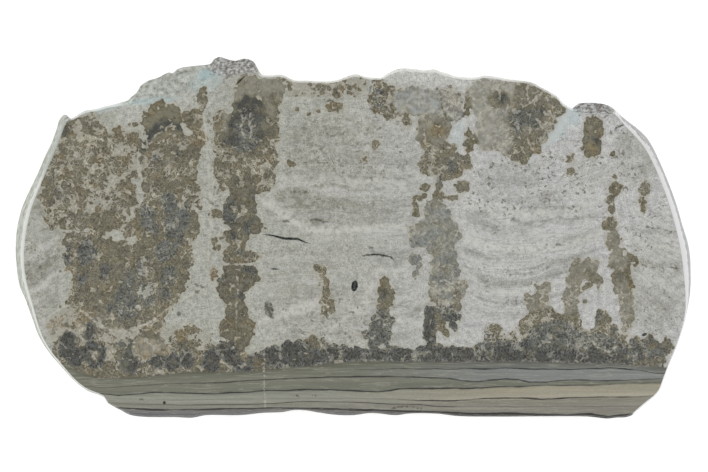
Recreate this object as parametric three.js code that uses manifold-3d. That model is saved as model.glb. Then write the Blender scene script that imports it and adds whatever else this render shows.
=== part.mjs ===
// A polished slab of stromatolite: one slice of layered reef rock, sawn on the back, ground round at both
// ends, broken along its knobbly growth top and parted along a bedding plane at the foot. It lies on its
// back.
//
// Millimetres, +Z up. X runs along the beds, Y from the oldest bed to the growth top, and Z from the sawn
// back to the polished face. The origin is the middle of the back.

import * as THREE from "three";
import { ImprovedNoise } from "three/addons/math/ImprovedNoise.js";
import { mergeVertices } from "three/addons/utils/BufferGeometryUtils.js";
import Module from "manifold-3d";

// Driving dimensions
const SLAB_LENGTH = 240;
const SLAB_THICKNESS = 16;
const OUTLINE_LENGTH = 240; // the length at which the outline's points are given
const CORNERS_AROUND = 300; // corners in each ring around the slab
const LUMP_SIZE = 7; // spacing of the larger knobs on broken rock
const LUMP_RELIEF = 2.2;
const CHIP_SIZE = 3; // spacing of the smaller chips on broken rock
const CHIP_RELIEF = 0.9;
const RIM_CHIP_SHARE = 0.3; // the depth of chips on a broken rim, as a share of its width
const WIDE_RIM = 4; // at this width and over, chips stop growing and the face's edge is fully evened out
const EVENING_PASSES = 6;
const CORNERS_ASIDE = 4; // how many corners to each side set the direction into the slab
const PIT_SIDES = 14;
const PIT_RINGS = 8;
const PIT_UNEVENNESS = 0.35;
const CRACK_RISE = 0.4; // how far a crack's cutter stands above the face
const CRACK_STEP = 2;

// How the stone ends: a row of `rim` is the share of the rim's width crossed from the face to the outline,
// with the share of its drop. A row of `wall` is the inset from the outline, with the share of the height
// that is left down to the back. `lumps` is how much of the broken relief the surface carries.
const FINISHES = {
  groundLeft: {
    rim: [[0, 0], [0.14, 0.012], [0.29, 0.05], [0.43, 0.14], [0.55, 0.33], [0.78, 0.67], [1, 1]],
    wall: [[0.02, 0.2], [0.06, 0.4], [0.14, 0.6], [0.3, 0.8], [0.6, 1]],
    lumps: 0,
  },
  groundRight: {
    rim: [[0, 0], [0.22, 0.02], [0.44, 0.07], [0.64, 0.17], [0.8, 0.36], [0.92, 0.68], [1, 1]],
    wall: [[0.02, 0.2], [0.06, 0.4], [0.14, 0.6], [0.3, 0.8], [0.6, 1]],
    lumps: 0,
  },
  broken: {
    rim: [[0, 0], [0.16, 0.08], [0.36, 0.22], [0.56, 0.4], [0.74, 0.6], [0.9, 0.82], [1, 1]],
    wall: [[0, 0.18], [0.2, 0.36], [0.5, 0.56], [1, 0.78], [2, 1]],
    lumps: 1,
  },
  bedded: {
    rim: [[0, 0], [0.2, 0.05], [0.4, 0.16], [0.6, 0.34], [0.78, 0.56], [0.92, 0.8], [1, 1]],
    wall: [[0.1, 0.2], [0.2, 0.4], [0, 0.6], [0.2, 0.8], [0.7, 1]],
    lumps: 0.22,
  },
};

// The outline, clockwise as seen from above. Each row holds x and y, the width of the rim between the
// outline and the polished face, and how far below the face the rim is when it reaches the outline.
const LEFT_END = [
  [-89.4, -56.1, 0.8, 7],
  [-94.5, -54.3, 1.0, 11],
  [-99.0, -51.0, 1.1, 13],
  [-103.5, -46.2, 1.3, 14],
  [-108.0, -41.0, 1.5, 14],
  [-111.5, -35.5, 1.7, 14],
  [-114.0, -29.0, 2.1, 14],
  [-116.4, -22.3, 2.7, 14],
  [-118.6, -17.0, 3.4, 14],
  [-119.7, -10.0, 3.4, 14],
  [-120.0, -3.0, 3.8, 14],
  [-119.4, 4.0, 4.2, 14],
  [-117.6, 11.0, 3.9, 14],
  [-114.8, 17.3, 3.5, 14],
  [-111.9, 23.2, 3.1, 13],
  [-109.9, 28.0, 3.4, 12],
  [-107.0, 34.0, 2.7, 11],
  [-105.2, 38.8, 3.2, 10],
  [-104.2, 42.0, 3.0, 9],
];

const GROWTH_TOP = [
  [-102.1, 43.7, 2.6, 8],
  [-100.1, 42.2, 0.8, 6],
  [-98.4, 43.0, 0.9, 5],
  [-96.6, 44.2, 0.9, 5],
  [-94.8, 45.0, 0.9, 5],
  [-91.0, 45.6, 0.9, 5],
  [-88.0, 46.5, 0.8, 5],
  [-85.0, 47.1, 0.9, 5],
  [-82.0, 48.0, 1.2, 5],
  [-80.0, 48.6, 2.0, 5],
  [-78.4, 50.0, 3.4, 5],
  [-76.6, 51.6, 4.8, 5],
  [-75.4, 53.7, 6.4, 6],
  [-73.0, 55.5, 7.8, 6],
  [-69.0, 56.8, 8.6, 6],
  [-65.4, 58.6, 9.6, 6],
  [-64.2, 58.3, 9.2, 6],
  [-61.8, 60.0, 10.0, 6],
  [-58.0, 60.7, 9.6, 6],
  [-54.0, 61.1, 7.4, 6],
  [-50.4, 61.7, 5.8, 6],
  [-49.6, 63.0, 7.0, 6],
  [-47.4, 64.1, 8.2, 6],
  [-44.8, 63.3, 7.4, 6],
  [-41.6, 62.7, 5.8, 6],
  [-39.4, 63.4, 6.2, 6],
  [-36.8, 63.2, 5.6, 6],
  [-35.3, 62.4, 4.6, 6],
  [-34.3, 60.8, 3.0, 5],
  [-33.3, 58.9, 1.4, 5],
  [-32.2, 57.7, 0.8, 5],
  [-29.0, 57.4, 0.8, 5],
  [-25.6, 57.7, 0.9, 5],
  [-23.0, 56.7, 0.8, 5],
  [-20.8, 55.7, 0.7, 5],
  [-16.0, 55.6, 0.8, 5],
  [-11.0, 55.3, 0.8, 5],
  [-6.5, 55.6, 0.8, 5],
  [-3.4, 56.6, 0.8, 5],
  [-0.4, 57.7, 0.9, 5],
  [1.6, 57.8, 0.9, 5],
  [3.8, 57.1, 0.8, 5],
  [9.8, 56.6, 0.8, 5],
  [12.0, 58.0, 0.9, 5],
  [13.6, 58.9, 1.0, 5],
  [16.4, 59.9, 1.2, 5],
  [22.0, 59.7, 1.2, 5],
  [25.0, 59.3, 1.2, 5],
  [29.0, 59.6, 1.2, 5],
  [31.2, 58.7, 1.1, 5],
  [33.6, 58.1, 1.0, 5],
  [35.2, 57.4, 1.0, 5],
  [39.6, 56.8, 0.9, 5],
  [44.0, 56.8, 0.9, 5],
  [46.2, 57.4, 0.9, 5],
  [51.0, 56.9, 0.9, 5],
  [55.0, 56.1, 0.9, 5],
  [60.0, 55.6, 0.9, 5],
  [63.6, 54.9, 0.9, 5],
  [66.0, 53.6, 0.9, 5],
  [70.0, 51.5, 0.9, 5],
  [72.2, 50.1, 0.9, 5],
  [74.0, 48.0, 0.8, 5],
  [76.0, 46.5, 0.7, 5],
  [77.6, 45.8, 0.7, 5],
  [78.6, 46.5, 2.2, 4],
  [79.8, 47.4, 4.2, 4],
  [82.0, 47.7, 5.2, 4],
  [86.0, 47.7, 5.2, 4],
  [89.2, 47.2, 4.2, 4],
  [91.6, 46.2, 2.4, 4],
  [93.2, 44.9, 1.2, 6],
];

const RIGHT_END = [
  [95.6, 42.8, 1.6, 9],
  [98.0, 41.0, 2.5, 12],
  [101.0, 38.8, 3.0, 14],
  [104.4, 35.5, 3.2, 14],
  [107.0, 31.2, 3.0, 14],
  [110.2, 24.2, 2.9, 14],
  [113.0, 17.3, 3.0, 14],
  [115.2, 11.0, 3.0, 14],
  [117.2, 4.0, 3.1, 14],
  [118.9, -1.5, 3.6, 14],
  [119.8, -7.0, 3.5, 14],
  [120.0, -12.5, 3.2, 14],
  [120.0, -17.0, 2.7, 14],
  [119.5, -21.5, 2.0, 14],
  [118.7, -25.5, 1.1, 14],
  [117.4, -31.0, 0.8, 14],
  [114.6, -39.3, 0.7, 14],
  [112.0, -45.5, 0.7, 14],
  [110.0, -50.8, 0.7, 14],
  [108.8, -54.0, 0.7, 13],
  [107.0, -56.2, 0.7, 12],
  [104.6, -58.2, 0.8, 11],
  [101.6, -60.7, 0.8, 10],
];

const BEDDED_FOOT = [
  [99.2, -62.8, 0.9, 7],
  [97.0, -63.6, 0.9, 5],
  [93.0, -63.8, 1.0, 3.5],
  [90.0, -64.1, 1.2, 3],
  [87.0, -63.8, 1.1, 3],
  [83.0, -63.4, 1.0, 3],
  [70.0, -63.3, 0.9, 3],
  [50.0, -63.4, 0.9, 3],
  [37.0, -63.2, 0.9, 3],
  [30.0, -62.4, 0.8, 3],
  [20.0, -62.3, 0.9, 3],
  [15.0, -62.9, 1.1, 3],
  [9.0, -62.3, 1.0, 3],
  [5.5, -62.2, 1.0, 3],
  [0.0, -62.9, 1.3, 3],
  [-6.0, -62.8, 1.3, 3],
  [-12.0, -62.0, 1.1, 3],
  [-17.0, -61.2, 0.9, 3],
  [-21.0, -61.1, 0.9, 3],
  [-25.0, -61.8, 1.1, 3],
  [-32.0, -62.1, 1.2, 3],
  [-40.0, -62.9, 1.4, 3],
  [-52.0, -62.9, 1.2, 3],
  [-57.0, -63.8, 1.4, 3],
  [-63.0, -63.6, 1.4, 3],
  [-74.0, -63.5, 1.2, 3],
  [-79.0, -62.8, 1.0, 3.5],
  [-82.0, -61.3, 0.9, 4],
  [-87.0, -58.5, 0.8, 5],
  [-88.0, -56.9, 0.7, 6],
];

const OUTLINE = [
  ...LEFT_END.map((row) => ({ row, finish: "groundLeft" })),
  ...GROWTH_TOP.map((row) => ({ row, finish: "broken" })),
  ...RIGHT_END.map((row) => ({ row, finish: "groundRight" })),
  ...BEDDED_FOOT.map((row) => ({ row, finish: "bedded" })),
];

// Hollows in the polished face: the middle, the half sizes along and across, the depth and the turn
const PITS = [
  { at: [0.5, -17.1], half: [1.1, 1.9], depth: 1.6, turn: -10 },
  { at: [-29.8, -25.2], half: [1.5, 3.0], depth: 1.3, turn: 8 },
  { at: [-66.8, -58.4], half: [0.5, 0.5], depth: 0.7, turn: 0 },
  { at: [103.0, -34.3], half: [1.0, 0.5], depth: 0.6, turn: 20 },
];

// Open cracks in the polished face, each a row of points with the width and the depth at its middle
const CRACKS = [
  {
    along: [[-32.3, 1.1], [-28.7, 0.8], [-24.5, -0.3], [-19.5, -0.5], [-16.9, -1.7], [-14.7, -2.3]],
    width: 1.0,
    depth: 0.9,
  },
  { along: [[2.1, -6.5], [8.1, -5.9], [13.3, -6.8], [15.6, -9.5]], width: 0.6, depth: 0.5 },
  { along: [[-29.6, -11.1], [-26.0, -11.1]], width: 0.7, depth: 0.5 },
  { along: [[-41.8, 53.8], [-40.2, 55.4], [-38.0, 57.4]], width: 0.8, depth: 1.0 },
  { along: [[92.6, 38.7], [95.6, 39.9], [98.0, 40.6]], width: 0.7, depth: 0.8 },
];

const grain = new ImprovedNoise();

// The relief of broken rock at a point, from 0 in the hollows' depth to 1.
function rockRelief(x, y, z, size) {
  return 0.5 + 0.5 * grain.noise(x / size, y / size, z / size);
}

// The stations around the slab: the outline's point, the rim's width and drop, and the share of each finish.
function outlineStations() {
  const curve = new THREE.CatmullRomCurve3(
    OUTLINE.map(({ row }) => new THREE.Vector3(row[0], row[1], 0)),
    true,
    "centripetal",
  );
  curve.arcLengthDivisions = OUTLINE.length * 40;
  const scale = SLAB_LENGTH / OUTLINE_LENGTH;
  const stations = [];
  for (let i = 0; i < CORNERS_AROUND; i += 1) {
    const along = i / CORNERS_AROUND;
    const place = curve.getUtoTmapping(along) * OUTLINE.length;
    const before = OUTLINE[Math.floor(place) % OUTLINE.length];
    const after = OUTLINE[(Math.floor(place) + 1) % OUTLINE.length];
    const share = place - Math.floor(place);
    const finishes = {};
    finishes[before.finish] = 1 - share;
    finishes[after.finish] = (finishes[after.finish] || 0) + share;
    stations.push({
      point: curve.getPointAt(along).multiplyScalar(scale),
      rim: THREE.MathUtils.lerp(before.row[2], after.row[2], share) * scale,
      drop: THREE.MathUtils.lerp(before.row[3], after.row[3], share),
      finishes,
    });
  }
  return stations.reverse(); // counterclockwise, as the faces need
}

// The direction into the slab at each station, evened out so that small knobs don't turn it.
function inwardDirections(stations) {
  const count = stations.length;
  return stations.map((station, i) => {
    const before = stations[(i - CORNERS_ASIDE + count) % count].point;
    const after = stations[(i + CORNERS_ASIDE) % count].point;
    const run = new THREE.Vector3().subVectors(after, before).normalize();
    return new THREE.Vector3(-run.y, run.x, 0);
  });
}

// The edge of the polished face: each outline point moved in by the rim, with wide rims evened out.
function faceEdge(stations, inward) {
  let edge = stations.map((s, i) => s.point.clone().addScaledVector(inward[i], s.rim));
  for (let pass = 0; pass < EVENING_PASSES; pass += 1) {
    edge = edge.map((point, i) => {
      const before = edge[(i - 1 + edge.length) % edge.length];
      const after = edge[(i + 1) % edge.length];
      const middle = before.clone().add(after).multiplyScalar(0.5);
      return point.clone().lerp(middle, 0.5 * Math.min(1, stations[i].rim / WIDE_RIM) ** 2);
    });
  }
  return edge;
}

// One value blended from the finishes that meet at a station.
function blended(station, valueOf) {
  return Object.entries(station.finishes).reduce(
    (sum, [name, share]) => sum + share * valueOf(FINISHES[name]),
    0,
  );
}

// A corner moved into the stone by the lumps and chips of broken rock.
function roughened(corner, inward, amount) {
  const lumps = rockRelief(corner.x, corner.y, corner.z, LUMP_SIZE) * LUMP_RELIEF;
  const chips = rockRelief(corner.x, corner.y, corner.z, CHIP_SIZE) * CHIP_RELIEF;
  return corner.addScaledVector(inward, (lumps + chips) * amount);
}

// The rings of corners from the polished face, over the rim and down the wall to the back.
function ringsOfCorners() {
  const stations = outlineStations();
  const inward = inwardDirections(stations);
  const edge = faceEdge(stations, inward);
  const rings = [];
  const rimRows = FINISHES.broken.rim.length;
  for (let r = 0; r < rimRows; r += 1) {
    rings.push(
      stations.map((s, i) => {
        const across = blended(s, (finish) => finish.rim[r][0]);
        const down = blended(s, (finish) => finish.rim[r][1]);
        const corner = edge[i].clone().lerp(s.point, across);
        const sunk = Math.sin(Math.PI * across) * blended(s, (finish) => finish.lumps);
        const deepest = Math.min(s.rim, WIDE_RIM) * RIM_CHIP_SHARE;
        const chips = rockRelief(corner.x, corner.y, 0, CHIP_SIZE) * deepest;
        corner.z = SLAB_THICKNESS - down * s.drop - sunk * chips;
        return corner;
      }),
    );
  }
  for (let w = 0; w < FINISHES.broken.wall.length; w += 1) {
    rings.push(
      stations.map((s, i) => {
        const inset = blended(s, (finish) => finish.wall[w][0]);
        const down = blended(s, (finish) => finish.wall[w][1]);
        const corner = s.point.clone().addScaledVector(inward[i], inset);
        corner.z = (SLAB_THICKNESS - s.drop) * (1 - down);
        return roughened(corner, inward[i], blended(s, (finish) => finish.lumps));
      }),
    );
  }
  return rings;
}

// A closed mesh over the rings, capped by the flat face and the flat back.
function slabGeometry() {
  const rings = ringsOfCorners();
  const count = CORNERS_AROUND;
  const faces = [];
  for (let r = 0; r + 1 < rings.length; r += 1) {
    for (let i = 0; i < count; i += 1) {
      const next = (i + 1) % count;
      const upper = r * count;
      const lower = upper + count;
      faces.push([lower + i, lower + next, upper + next]);
      faces.push([lower + i, upper + next, upper + i]);
    }
  }
  const flat = (ring) => ring.map((corner) => new THREE.Vector2(corner.x, corner.y));
  for (const [a, b, c] of THREE.ShapeUtils.triangulateShape(flat(rings[0]), [])) faces.push([a, b, c]);
  const back = (rings.length - 1) * count;
  for (const [a, b, c] of THREE.ShapeUtils.triangulateShape(flat(rings.at(-1)), [])) {
    faces.push([back + a, back + c, back + b]);
  }
  return meshOf(rings.flat(), faces);
}

// A geometry from corners and the triangles over them.
function meshOf(corners, faces) {
  const geometry = new THREE.BufferGeometry();
  geometry.setAttribute(
    "position",
    new THREE.Float32BufferAttribute(corners.flatMap((corner) => corner.toArray()), 3),
  );
  geometry.setIndex(faces.flat());
  return geometry;
}

// The cutter for a hollow: an uneven ball whose middle lies on the face.
function pitCutter({ at, half, depth, turn }) {
  const ball = new THREE.SphereGeometry(1, PIT_SIDES, PIT_RINGS);
  ball.rotateX(Math.PI / 2);
  ball.deleteAttribute("normal");
  ball.deleteAttribute("uv");
  const geometry = mergeVertices(ball);
  const corners = geometry.attributes.position;
  const corner = new THREE.Vector3();
  for (let i = 0; i < corners.count; i += 1) {
    corner.fromBufferAttribute(corners, i);
    corner.multiplyScalar(1 + PIT_UNEVENNESS * grain.noise(corner.x + at[0], corner.y + at[1], corner.z));
    corners.setXYZ(i, corner.x, corner.y, corner.z);
  }
  geometry.scale(half[0], half[1], depth);
  geometry.rotateZ(THREE.MathUtils.degToRad(turn));
  geometry.translate(at[0], at[1], SLAB_THICKNESS);
  return geometry;
}

// The cutter for a crack: a thin wedge that narrows to a point at both ends.
function crackCutter({ along, width, depth }) {
  const curve = new THREE.CatmullRomCurve3(along.map(([x, y]) => new THREE.Vector3(x, y, 0)));
  const steps = Math.max(4, Math.round(curve.getLength() / CRACK_STEP));
  const corners = [curve.getPoint(0).setZ(SLAB_THICKNESS)];
  const faces = [];
  for (let s = 1; s < steps; s += 1) {
    const middle = curve.getPointAt(s / steps);
    const run = curve.getTangentAt(s / steps);
    const share = Math.sin((Math.PI * s) / steps);
    const side = new THREE.Vector3(-run.y, run.x, 0).multiplyScalar((width / 2) * share);
    corners.push(
      middle.clone().add(side).setZ(SLAB_THICKNESS + CRACK_RISE),
      middle.clone().setZ(SLAB_THICKNESS - depth * share),
      middle.clone().sub(side).setZ(SLAB_THICKNESS + CRACK_RISE),
    );
  }
  corners.push(curve.getPoint(1).setZ(SLAB_THICKNESS));
  const last = corners.length - 1;
  for (let k = 0; k < 3; k += 1) {
    const next = (k + 1) % 3;
    faces.push([0, 1 + k, 1 + next]);
    faces.push([last, last - 3 + next, last - 3 + k]);
    for (let s = 0; s + 2 < steps; s += 1) {
      const near = 1 + s * 3;
      const far = near + 3;
      faces.push([near + k, far + k, far + next]);
      faces.push([near + k, far + next, near + next]);
    }
  }
  return meshOf(corners, faces);
}

const wasm = await Module();
wasm.setup();

// A closed geometry as a solid that can be cut.
function solidOf(geometry) {
  const mesh = new wasm.Mesh({
    numProp: 3,
    vertProperties: new Float32Array(geometry.attributes.position.array),
    triVerts: new Uint32Array(geometry.index.array),
  });
  return new wasm.Manifold(mesh);
}

// The slab with its hollows and cracks cut, centred over its back.
function stromatoliteGeometry() {
  let solid = solidOf(slabGeometry());
  for (const cutter of [...PITS.map(pitCutter), ...CRACKS.map(crackCutter)]) {
    solid = solid.subtract(solidOf(cutter));
  }
  const cut = solid.getMesh();
  const geometry = new THREE.BufferGeometry();
  geometry.setAttribute("position", new THREE.BufferAttribute(new Float32Array(cut.vertProperties), 3));
  geometry.setIndex(new THREE.BufferAttribute(new Uint32Array(cut.triVerts), 1));
  geometry.computeBoundingBox();
  const middle = geometry.boundingBox.getCenter(new THREE.Vector3());
  geometry.translate(-middle.x, -middle.y, 0);
  geometry.computeVertexNormals();
  return geometry;
}

const polishedStone = new THREE.MeshStandardMaterial({ color: 0x9a988d, roughness: 0.35, metalness: 0 });

const slab = new THREE.Mesh(stromatoliteGeometry(), polishedStone);
slab.name = "stromatolite_slab";

const object = new THREE.Group();
object.add(slab);

export default object;
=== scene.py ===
"""A polished slab of stromatolite, lying on its sawn back and seen from straight above."""

import logging
import math
from dataclasses import dataclass, replace
from enum import Enum
from functools import partial, reduce

import bpy
import numpy as np
from mathutils import Matrix, Vector
from mathutils.geometry import delaunay_2d_cdt


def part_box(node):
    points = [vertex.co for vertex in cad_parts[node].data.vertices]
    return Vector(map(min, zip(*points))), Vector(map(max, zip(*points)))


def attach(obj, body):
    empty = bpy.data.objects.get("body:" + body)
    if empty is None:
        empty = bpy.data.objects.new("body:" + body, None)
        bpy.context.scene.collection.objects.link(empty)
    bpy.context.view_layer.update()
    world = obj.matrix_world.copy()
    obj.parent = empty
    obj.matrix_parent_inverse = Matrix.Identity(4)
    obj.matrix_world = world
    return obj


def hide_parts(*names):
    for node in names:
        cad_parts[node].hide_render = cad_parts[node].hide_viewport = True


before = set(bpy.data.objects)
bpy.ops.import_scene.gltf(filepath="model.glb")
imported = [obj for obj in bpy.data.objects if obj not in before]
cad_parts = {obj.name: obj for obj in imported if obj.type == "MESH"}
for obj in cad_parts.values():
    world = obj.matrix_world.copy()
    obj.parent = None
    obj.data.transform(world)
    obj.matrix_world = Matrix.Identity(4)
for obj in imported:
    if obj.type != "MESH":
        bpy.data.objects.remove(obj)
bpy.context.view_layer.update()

LOG = logging.getLogger("slab")
NODE = "stromatolite_slab"
MM = 0.001
THICKNESS = 16.0
# The light that the polish adds to every colour, as a share of white
SHEEN = 0.043
# The height of one lamina of the mud, and how much further a single clot reaches than its oval
LAMINA = 2.3
CLOT_BONUS = 0.35

Row = tuple[float, ...]
Rows = tuple[Row, ...]
Strokes = tuple[tuple[float, float, Row], ...]
Colour = tuple[float, float, float, float]
Socket = bpy.types.NodeSocket
Input = Socket | float | Row

# The outline, clockwise from above: x and y, the width of the rim between the outline and the polished
# face, and how far below the face the rim is when it reaches the outline, all in millimetres.
LEFT_END: Rows = (
    (-89.4, -56.1, 0.8, 7), (-94.5, -54.3, 1.0, 11), (-99.0, -51.0, 1.1, 13), (-103.5, -46.2, 1.3, 14),
    (-108.0, -41.0, 1.5, 14), (-111.5, -35.5, 1.7, 14), (-114.0, -29.0, 2.1, 14), (-116.4, -22.3, 2.7, 14),
    (-118.6, -17.0, 3.4, 14), (-119.7, -10.0, 3.4, 14), (-120.0, -3.0, 3.8, 14), (-119.4, 4.0, 4.2, 14),
    (-117.6, 11.0, 3.9, 14), (-114.8, 17.3, 3.5, 14), (-111.9, 23.2, 3.1, 13), (-109.9, 28.0, 3.4, 12),
    (-107.0, 34.0, 2.7, 11), (-105.2, 38.8, 3.2, 10), (-104.2, 42.0, 3.0, 9),
)
GROWTH_TOP: Rows = (
    (-102.1, 43.7, 2.6, 8), (-100.1, 42.2, 0.8, 6), (-98.4, 43.0, 0.9, 5), (-96.6, 44.2, 0.9, 5),
    (-94.8, 45.0, 0.9, 5), (-91.0, 45.6, 0.9, 5), (-88.0, 46.5, 0.8, 5), (-85.0, 47.1, 0.9, 5),
    (-82.0, 48.0, 1.2, 5), (-80.0, 48.6, 2.0, 5), (-78.4, 50.0, 3.4, 5), (-76.6, 51.6, 4.8, 5),
    (-75.4, 53.7, 6.4, 6), (-73.0, 55.5, 7.8, 6), (-69.0, 56.8, 8.6, 6), (-65.4, 58.6, 9.6, 6),
    (-64.2, 58.3, 9.2, 6), (-61.8, 60.0, 10.0, 6), (-58.0, 60.7, 9.6, 6), (-54.0, 61.1, 7.4, 6),
    (-50.4, 61.7, 5.8, 6), (-49.6, 63.0, 7.0, 6), (-47.4, 64.1, 8.2, 6), (-44.8, 63.3, 7.4, 6),
    (-41.6, 62.7, 5.8, 6), (-39.4, 63.4, 6.2, 6), (-36.8, 63.2, 5.6, 6), (-35.3, 62.4, 4.6, 6),
    (-34.3, 60.8, 3.0, 5), (-33.3, 58.9, 1.4, 5), (-32.2, 57.7, 0.8, 5), (-29.0, 57.4, 0.8, 5),
    (-25.6, 57.7, 0.9, 5), (-23.0, 56.7, 0.8, 5), (-20.8, 55.7, 0.7, 5), (-16.0, 55.6, 0.8, 5),
    (-11.0, 55.3, 0.8, 5), (-6.5, 55.6, 0.8, 5), (-3.4, 56.6, 0.8, 5), (-0.4, 57.7, 0.9, 5),
    (1.6, 57.8, 0.9, 5), (3.8, 57.1, 0.8, 5), (9.8, 56.6, 0.8, 5), (12.0, 58.0, 0.9, 5),
    (13.6, 58.9, 1.0, 5), (16.4, 59.9, 1.2, 5), (22.0, 59.7, 1.2, 5), (25.0, 59.3, 1.2, 5),
    (29.0, 59.6, 1.2, 5), (31.2, 58.7, 1.1, 5), (33.6, 58.1, 1.0, 5), (35.2, 57.4, 1.0, 5),
    (39.6, 56.8, 0.9, 5), (44.0, 56.8, 0.9, 5), (46.2, 57.4, 0.9, 5), (51.0, 56.9, 0.9, 5),
    (55.0, 56.1, 0.9, 5), (60.0, 55.6, 0.9, 5), (63.6, 54.9, 0.9, 5), (66.0, 53.6, 0.9, 5),
    (70.0, 51.5, 0.9, 5), (72.2, 50.1, 0.9, 5), (74.0, 48.0, 0.8, 5), (76.0, 46.5, 0.7, 5),
    (77.6, 45.8, 0.7, 5), (78.6, 46.5, 2.2, 4), (79.8, 47.4, 4.2, 4), (82.0, 47.7, 5.2, 4),
    (86.0, 47.7, 5.2, 4), (89.2, 47.2, 4.2, 4), (91.6, 46.2, 2.4, 4), (93.2, 44.9, 1.2, 6),
)
RIGHT_END: Rows = (
    (95.6, 42.8, 1.6, 9), (98.0, 41.0, 2.5, 12), (101.0, 38.8, 3.0, 14), (104.4, 35.5, 3.2, 14),
    (107.0, 31.2, 3.0, 14), (110.2, 24.2, 2.9, 14), (113.0, 17.3, 3.0, 14), (115.2, 11.0, 3.0, 14),
    (117.2, 4.0, 3.1, 14), (118.9, -1.5, 3.6, 14), (119.8, -7.0, 3.5, 14), (120.0, -12.5, 3.2, 14),
    (120.0, -17.0, 2.7, 14), (119.5, -21.5, 2.0, 14), (118.7, -25.5, 1.1, 14), (117.4, -31.0, 0.8, 14),
    (114.6, -39.3, 0.7, 14), (112.0, -45.5, 0.7, 14), (110.0, -50.8, 0.7, 14), (108.8, -54.0, 0.7, 13),
    (107.0, -56.2, 0.7, 12), (104.6, -58.2, 0.8, 11), (101.6, -60.7, 0.8, 10),
)
BEDDED_FOOT: Rows = (
    (99.2, -62.8, 0.9, 7), (97.0, -63.6, 0.9, 5), (93.0, -63.8, 1.0, 3.5), (90.0, -64.1, 1.2, 3),
    (87.0, -63.8, 1.1, 3), (83.0, -63.4, 1.0, 3), (70.0, -63.3, 0.9, 3), (50.0, -63.4, 0.9, 3),
    (37.0, -63.2, 0.9, 3), (30.0, -62.4, 0.8, 3), (20.0, -62.3, 0.9, 3), (15.0, -62.9, 1.1, 3),
    (9.0, -62.3, 1.0, 3), (5.5, -62.2, 1.0, 3), (0.0, -62.9, 1.3, 3), (-6.0, -62.8, 1.3, 3),
    (-12.0, -62.0, 1.1, 3), (-17.0, -61.2, 0.9, 3), (-21.0, -61.1, 0.9, 3), (-25.0, -61.8, 1.1, 3),
    (-32.0, -62.1, 1.2, 3), (-40.0, -62.9, 1.4, 3), (-52.0, -62.9, 1.2, 3), (-57.0, -63.8, 1.4, 3),
    (-63.0, -63.6, 1.4, 3), (-74.0, -63.5, 1.2, 3), (-79.0, -62.8, 1.0, 3.5), (-82.0, -61.3, 0.9, 4),
    (-87.0, -58.5, 0.8, 5), (-88.0, -56.9, 0.7, 6),
)


class Tone(Enum):
    """Colours of the grown rock: darkness, warmth and opacity."""

    BROWN = (0.0, 0.25, 1.0)
    OLIVE = (-0.12, 0.1, 0.95)
    UMBER = (0.35, 0.3, 1.0)
    DUSK = (0.24, 0.15, 1.0)
    LOAM = (0.62, 0.2, 1.0)
    INKY = (0.95, -0.05, 1.0)
    LILAC = (-0.5, -0.45, 0.95)
    FAWN = (-0.9, 0.1, 0.9)
    TAN = (-0.42, 0.7, 0.85)
    HALO = (-0.3, 0.1, 0.85)
    GREY = (-0.8, -0.4, 0.9)
    BLUE = (0.2, -1.0, 1.0)
    SLATE = (0.42, -0.9, 1.0)
    DARK = (0.7, -0.4, 1.0)
    BLACK = (1.1, -0.2, 1.0)
    RUST = (0.05, 0.75, 1.0)
    VEIL = (-0.6, 0.0, 0.8)


class Fill(Enum):
    """How closely a patch is packed with clots, from few and apart to all touching."""

    SPARSE = 0.0
    LOOSE = 0.25
    PACKED = 0.5
    DENSE = 0.78
    SOLID = 1.0


def distance_to_line(x: np.ndarray, y: np.ndarray, line: np.ndarray) -> np.ndarray:
    """Measure from points to a line of straight pieces.

    Args:
        x: The points' x.
        y: The points' y.
        line: The line's corners, one per row.

    Returns:
        The distance from each point to the nearest place on the line.
    """
    best = np.full(x.shape, np.inf)
    for start, end in zip(line[:-1], line[1:]):
        run = end - start
        length = max(float(run @ run), 1e-9)
        share = np.clip(((x - start[0]) * run[0] + (y - start[1]) * run[1]) / length, 0, 1)
        gap = np.hypot(x - start[0] - share * run[0], y - start[1] - share * run[1])
        best = np.minimum(best, gap)
    return best


def inside_loop(x: np.ndarray, y: np.ndarray, loop: np.ndarray) -> np.ndarray:
    """Tell which points lie inside a closed loop.

    Args:
        x: The points' x.
        y: The points' y.
        loop: The loop's corners, one per row.

    Returns:
        True for each point inside.
    """
    inside = np.zeros(x.shape, bool)
    for start, end in zip(loop, np.roll(loop, -1, axis=0)):
        if start[1] == end[1]:
            continue
        crosses = (start[1] > y) != (end[1] > y)
        at = start[0] + (y - start[1]) * (end[0] - start[0]) / (end[1] - start[1])
        inside ^= crosses & (x < at)
    return inside


def pairs(numbers: Row) -> np.ndarray:
    """Return the points that a row of numbers holds as x, y, x, y and so on."""
    return np.array(numbers, float).reshape(-1, 2)


def reach(numbers: Row, margin: float) -> Row:
    """Return the lowest and highest x and y of such points, with a margin around them."""
    xs, ys = pairs(numbers).T
    return xs.min() - margin, xs.max() + margin, ys.min() - margin, ys.max() + margin


@dataclass(frozen=True)
class Oval:
    """A rounded patch of the face.

    Args:
        x: Its middle, along the beds.
        y: Its middle, across the beds.
        half_x: Its half size along its own first axis.
        half_y: Its half size along its own second axis.
        turn: Its turn in degrees.
    """

    x: float
    y: float
    half_x: float
    half_y: float
    turn: float = 0.0

    def window(self) -> Row:
        """Return the lowest and highest x and y that it reaches."""
        return reach((self.x, self.y), max(self.half_x, self.half_y))

    def depth(self, x: np.ndarray, y: np.ndarray) -> np.ndarray:
        """Return how far inside its edge each point lies.

        Args:
            x: The points' x.
            y: The points' y.

        Returns:
            Millimetres, negative outside.
        """
        turn = math.radians(self.turn)
        along = (x - self.x) * math.cos(turn) + (y - self.y) * math.sin(turn)
        across = (y - self.y) * math.cos(turn) - (x - self.x) * math.sin(turn)
        share = np.hypot(along / self.half_x, across / self.half_y)
        return (1 - share) * min(self.half_x, self.half_y)


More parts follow.
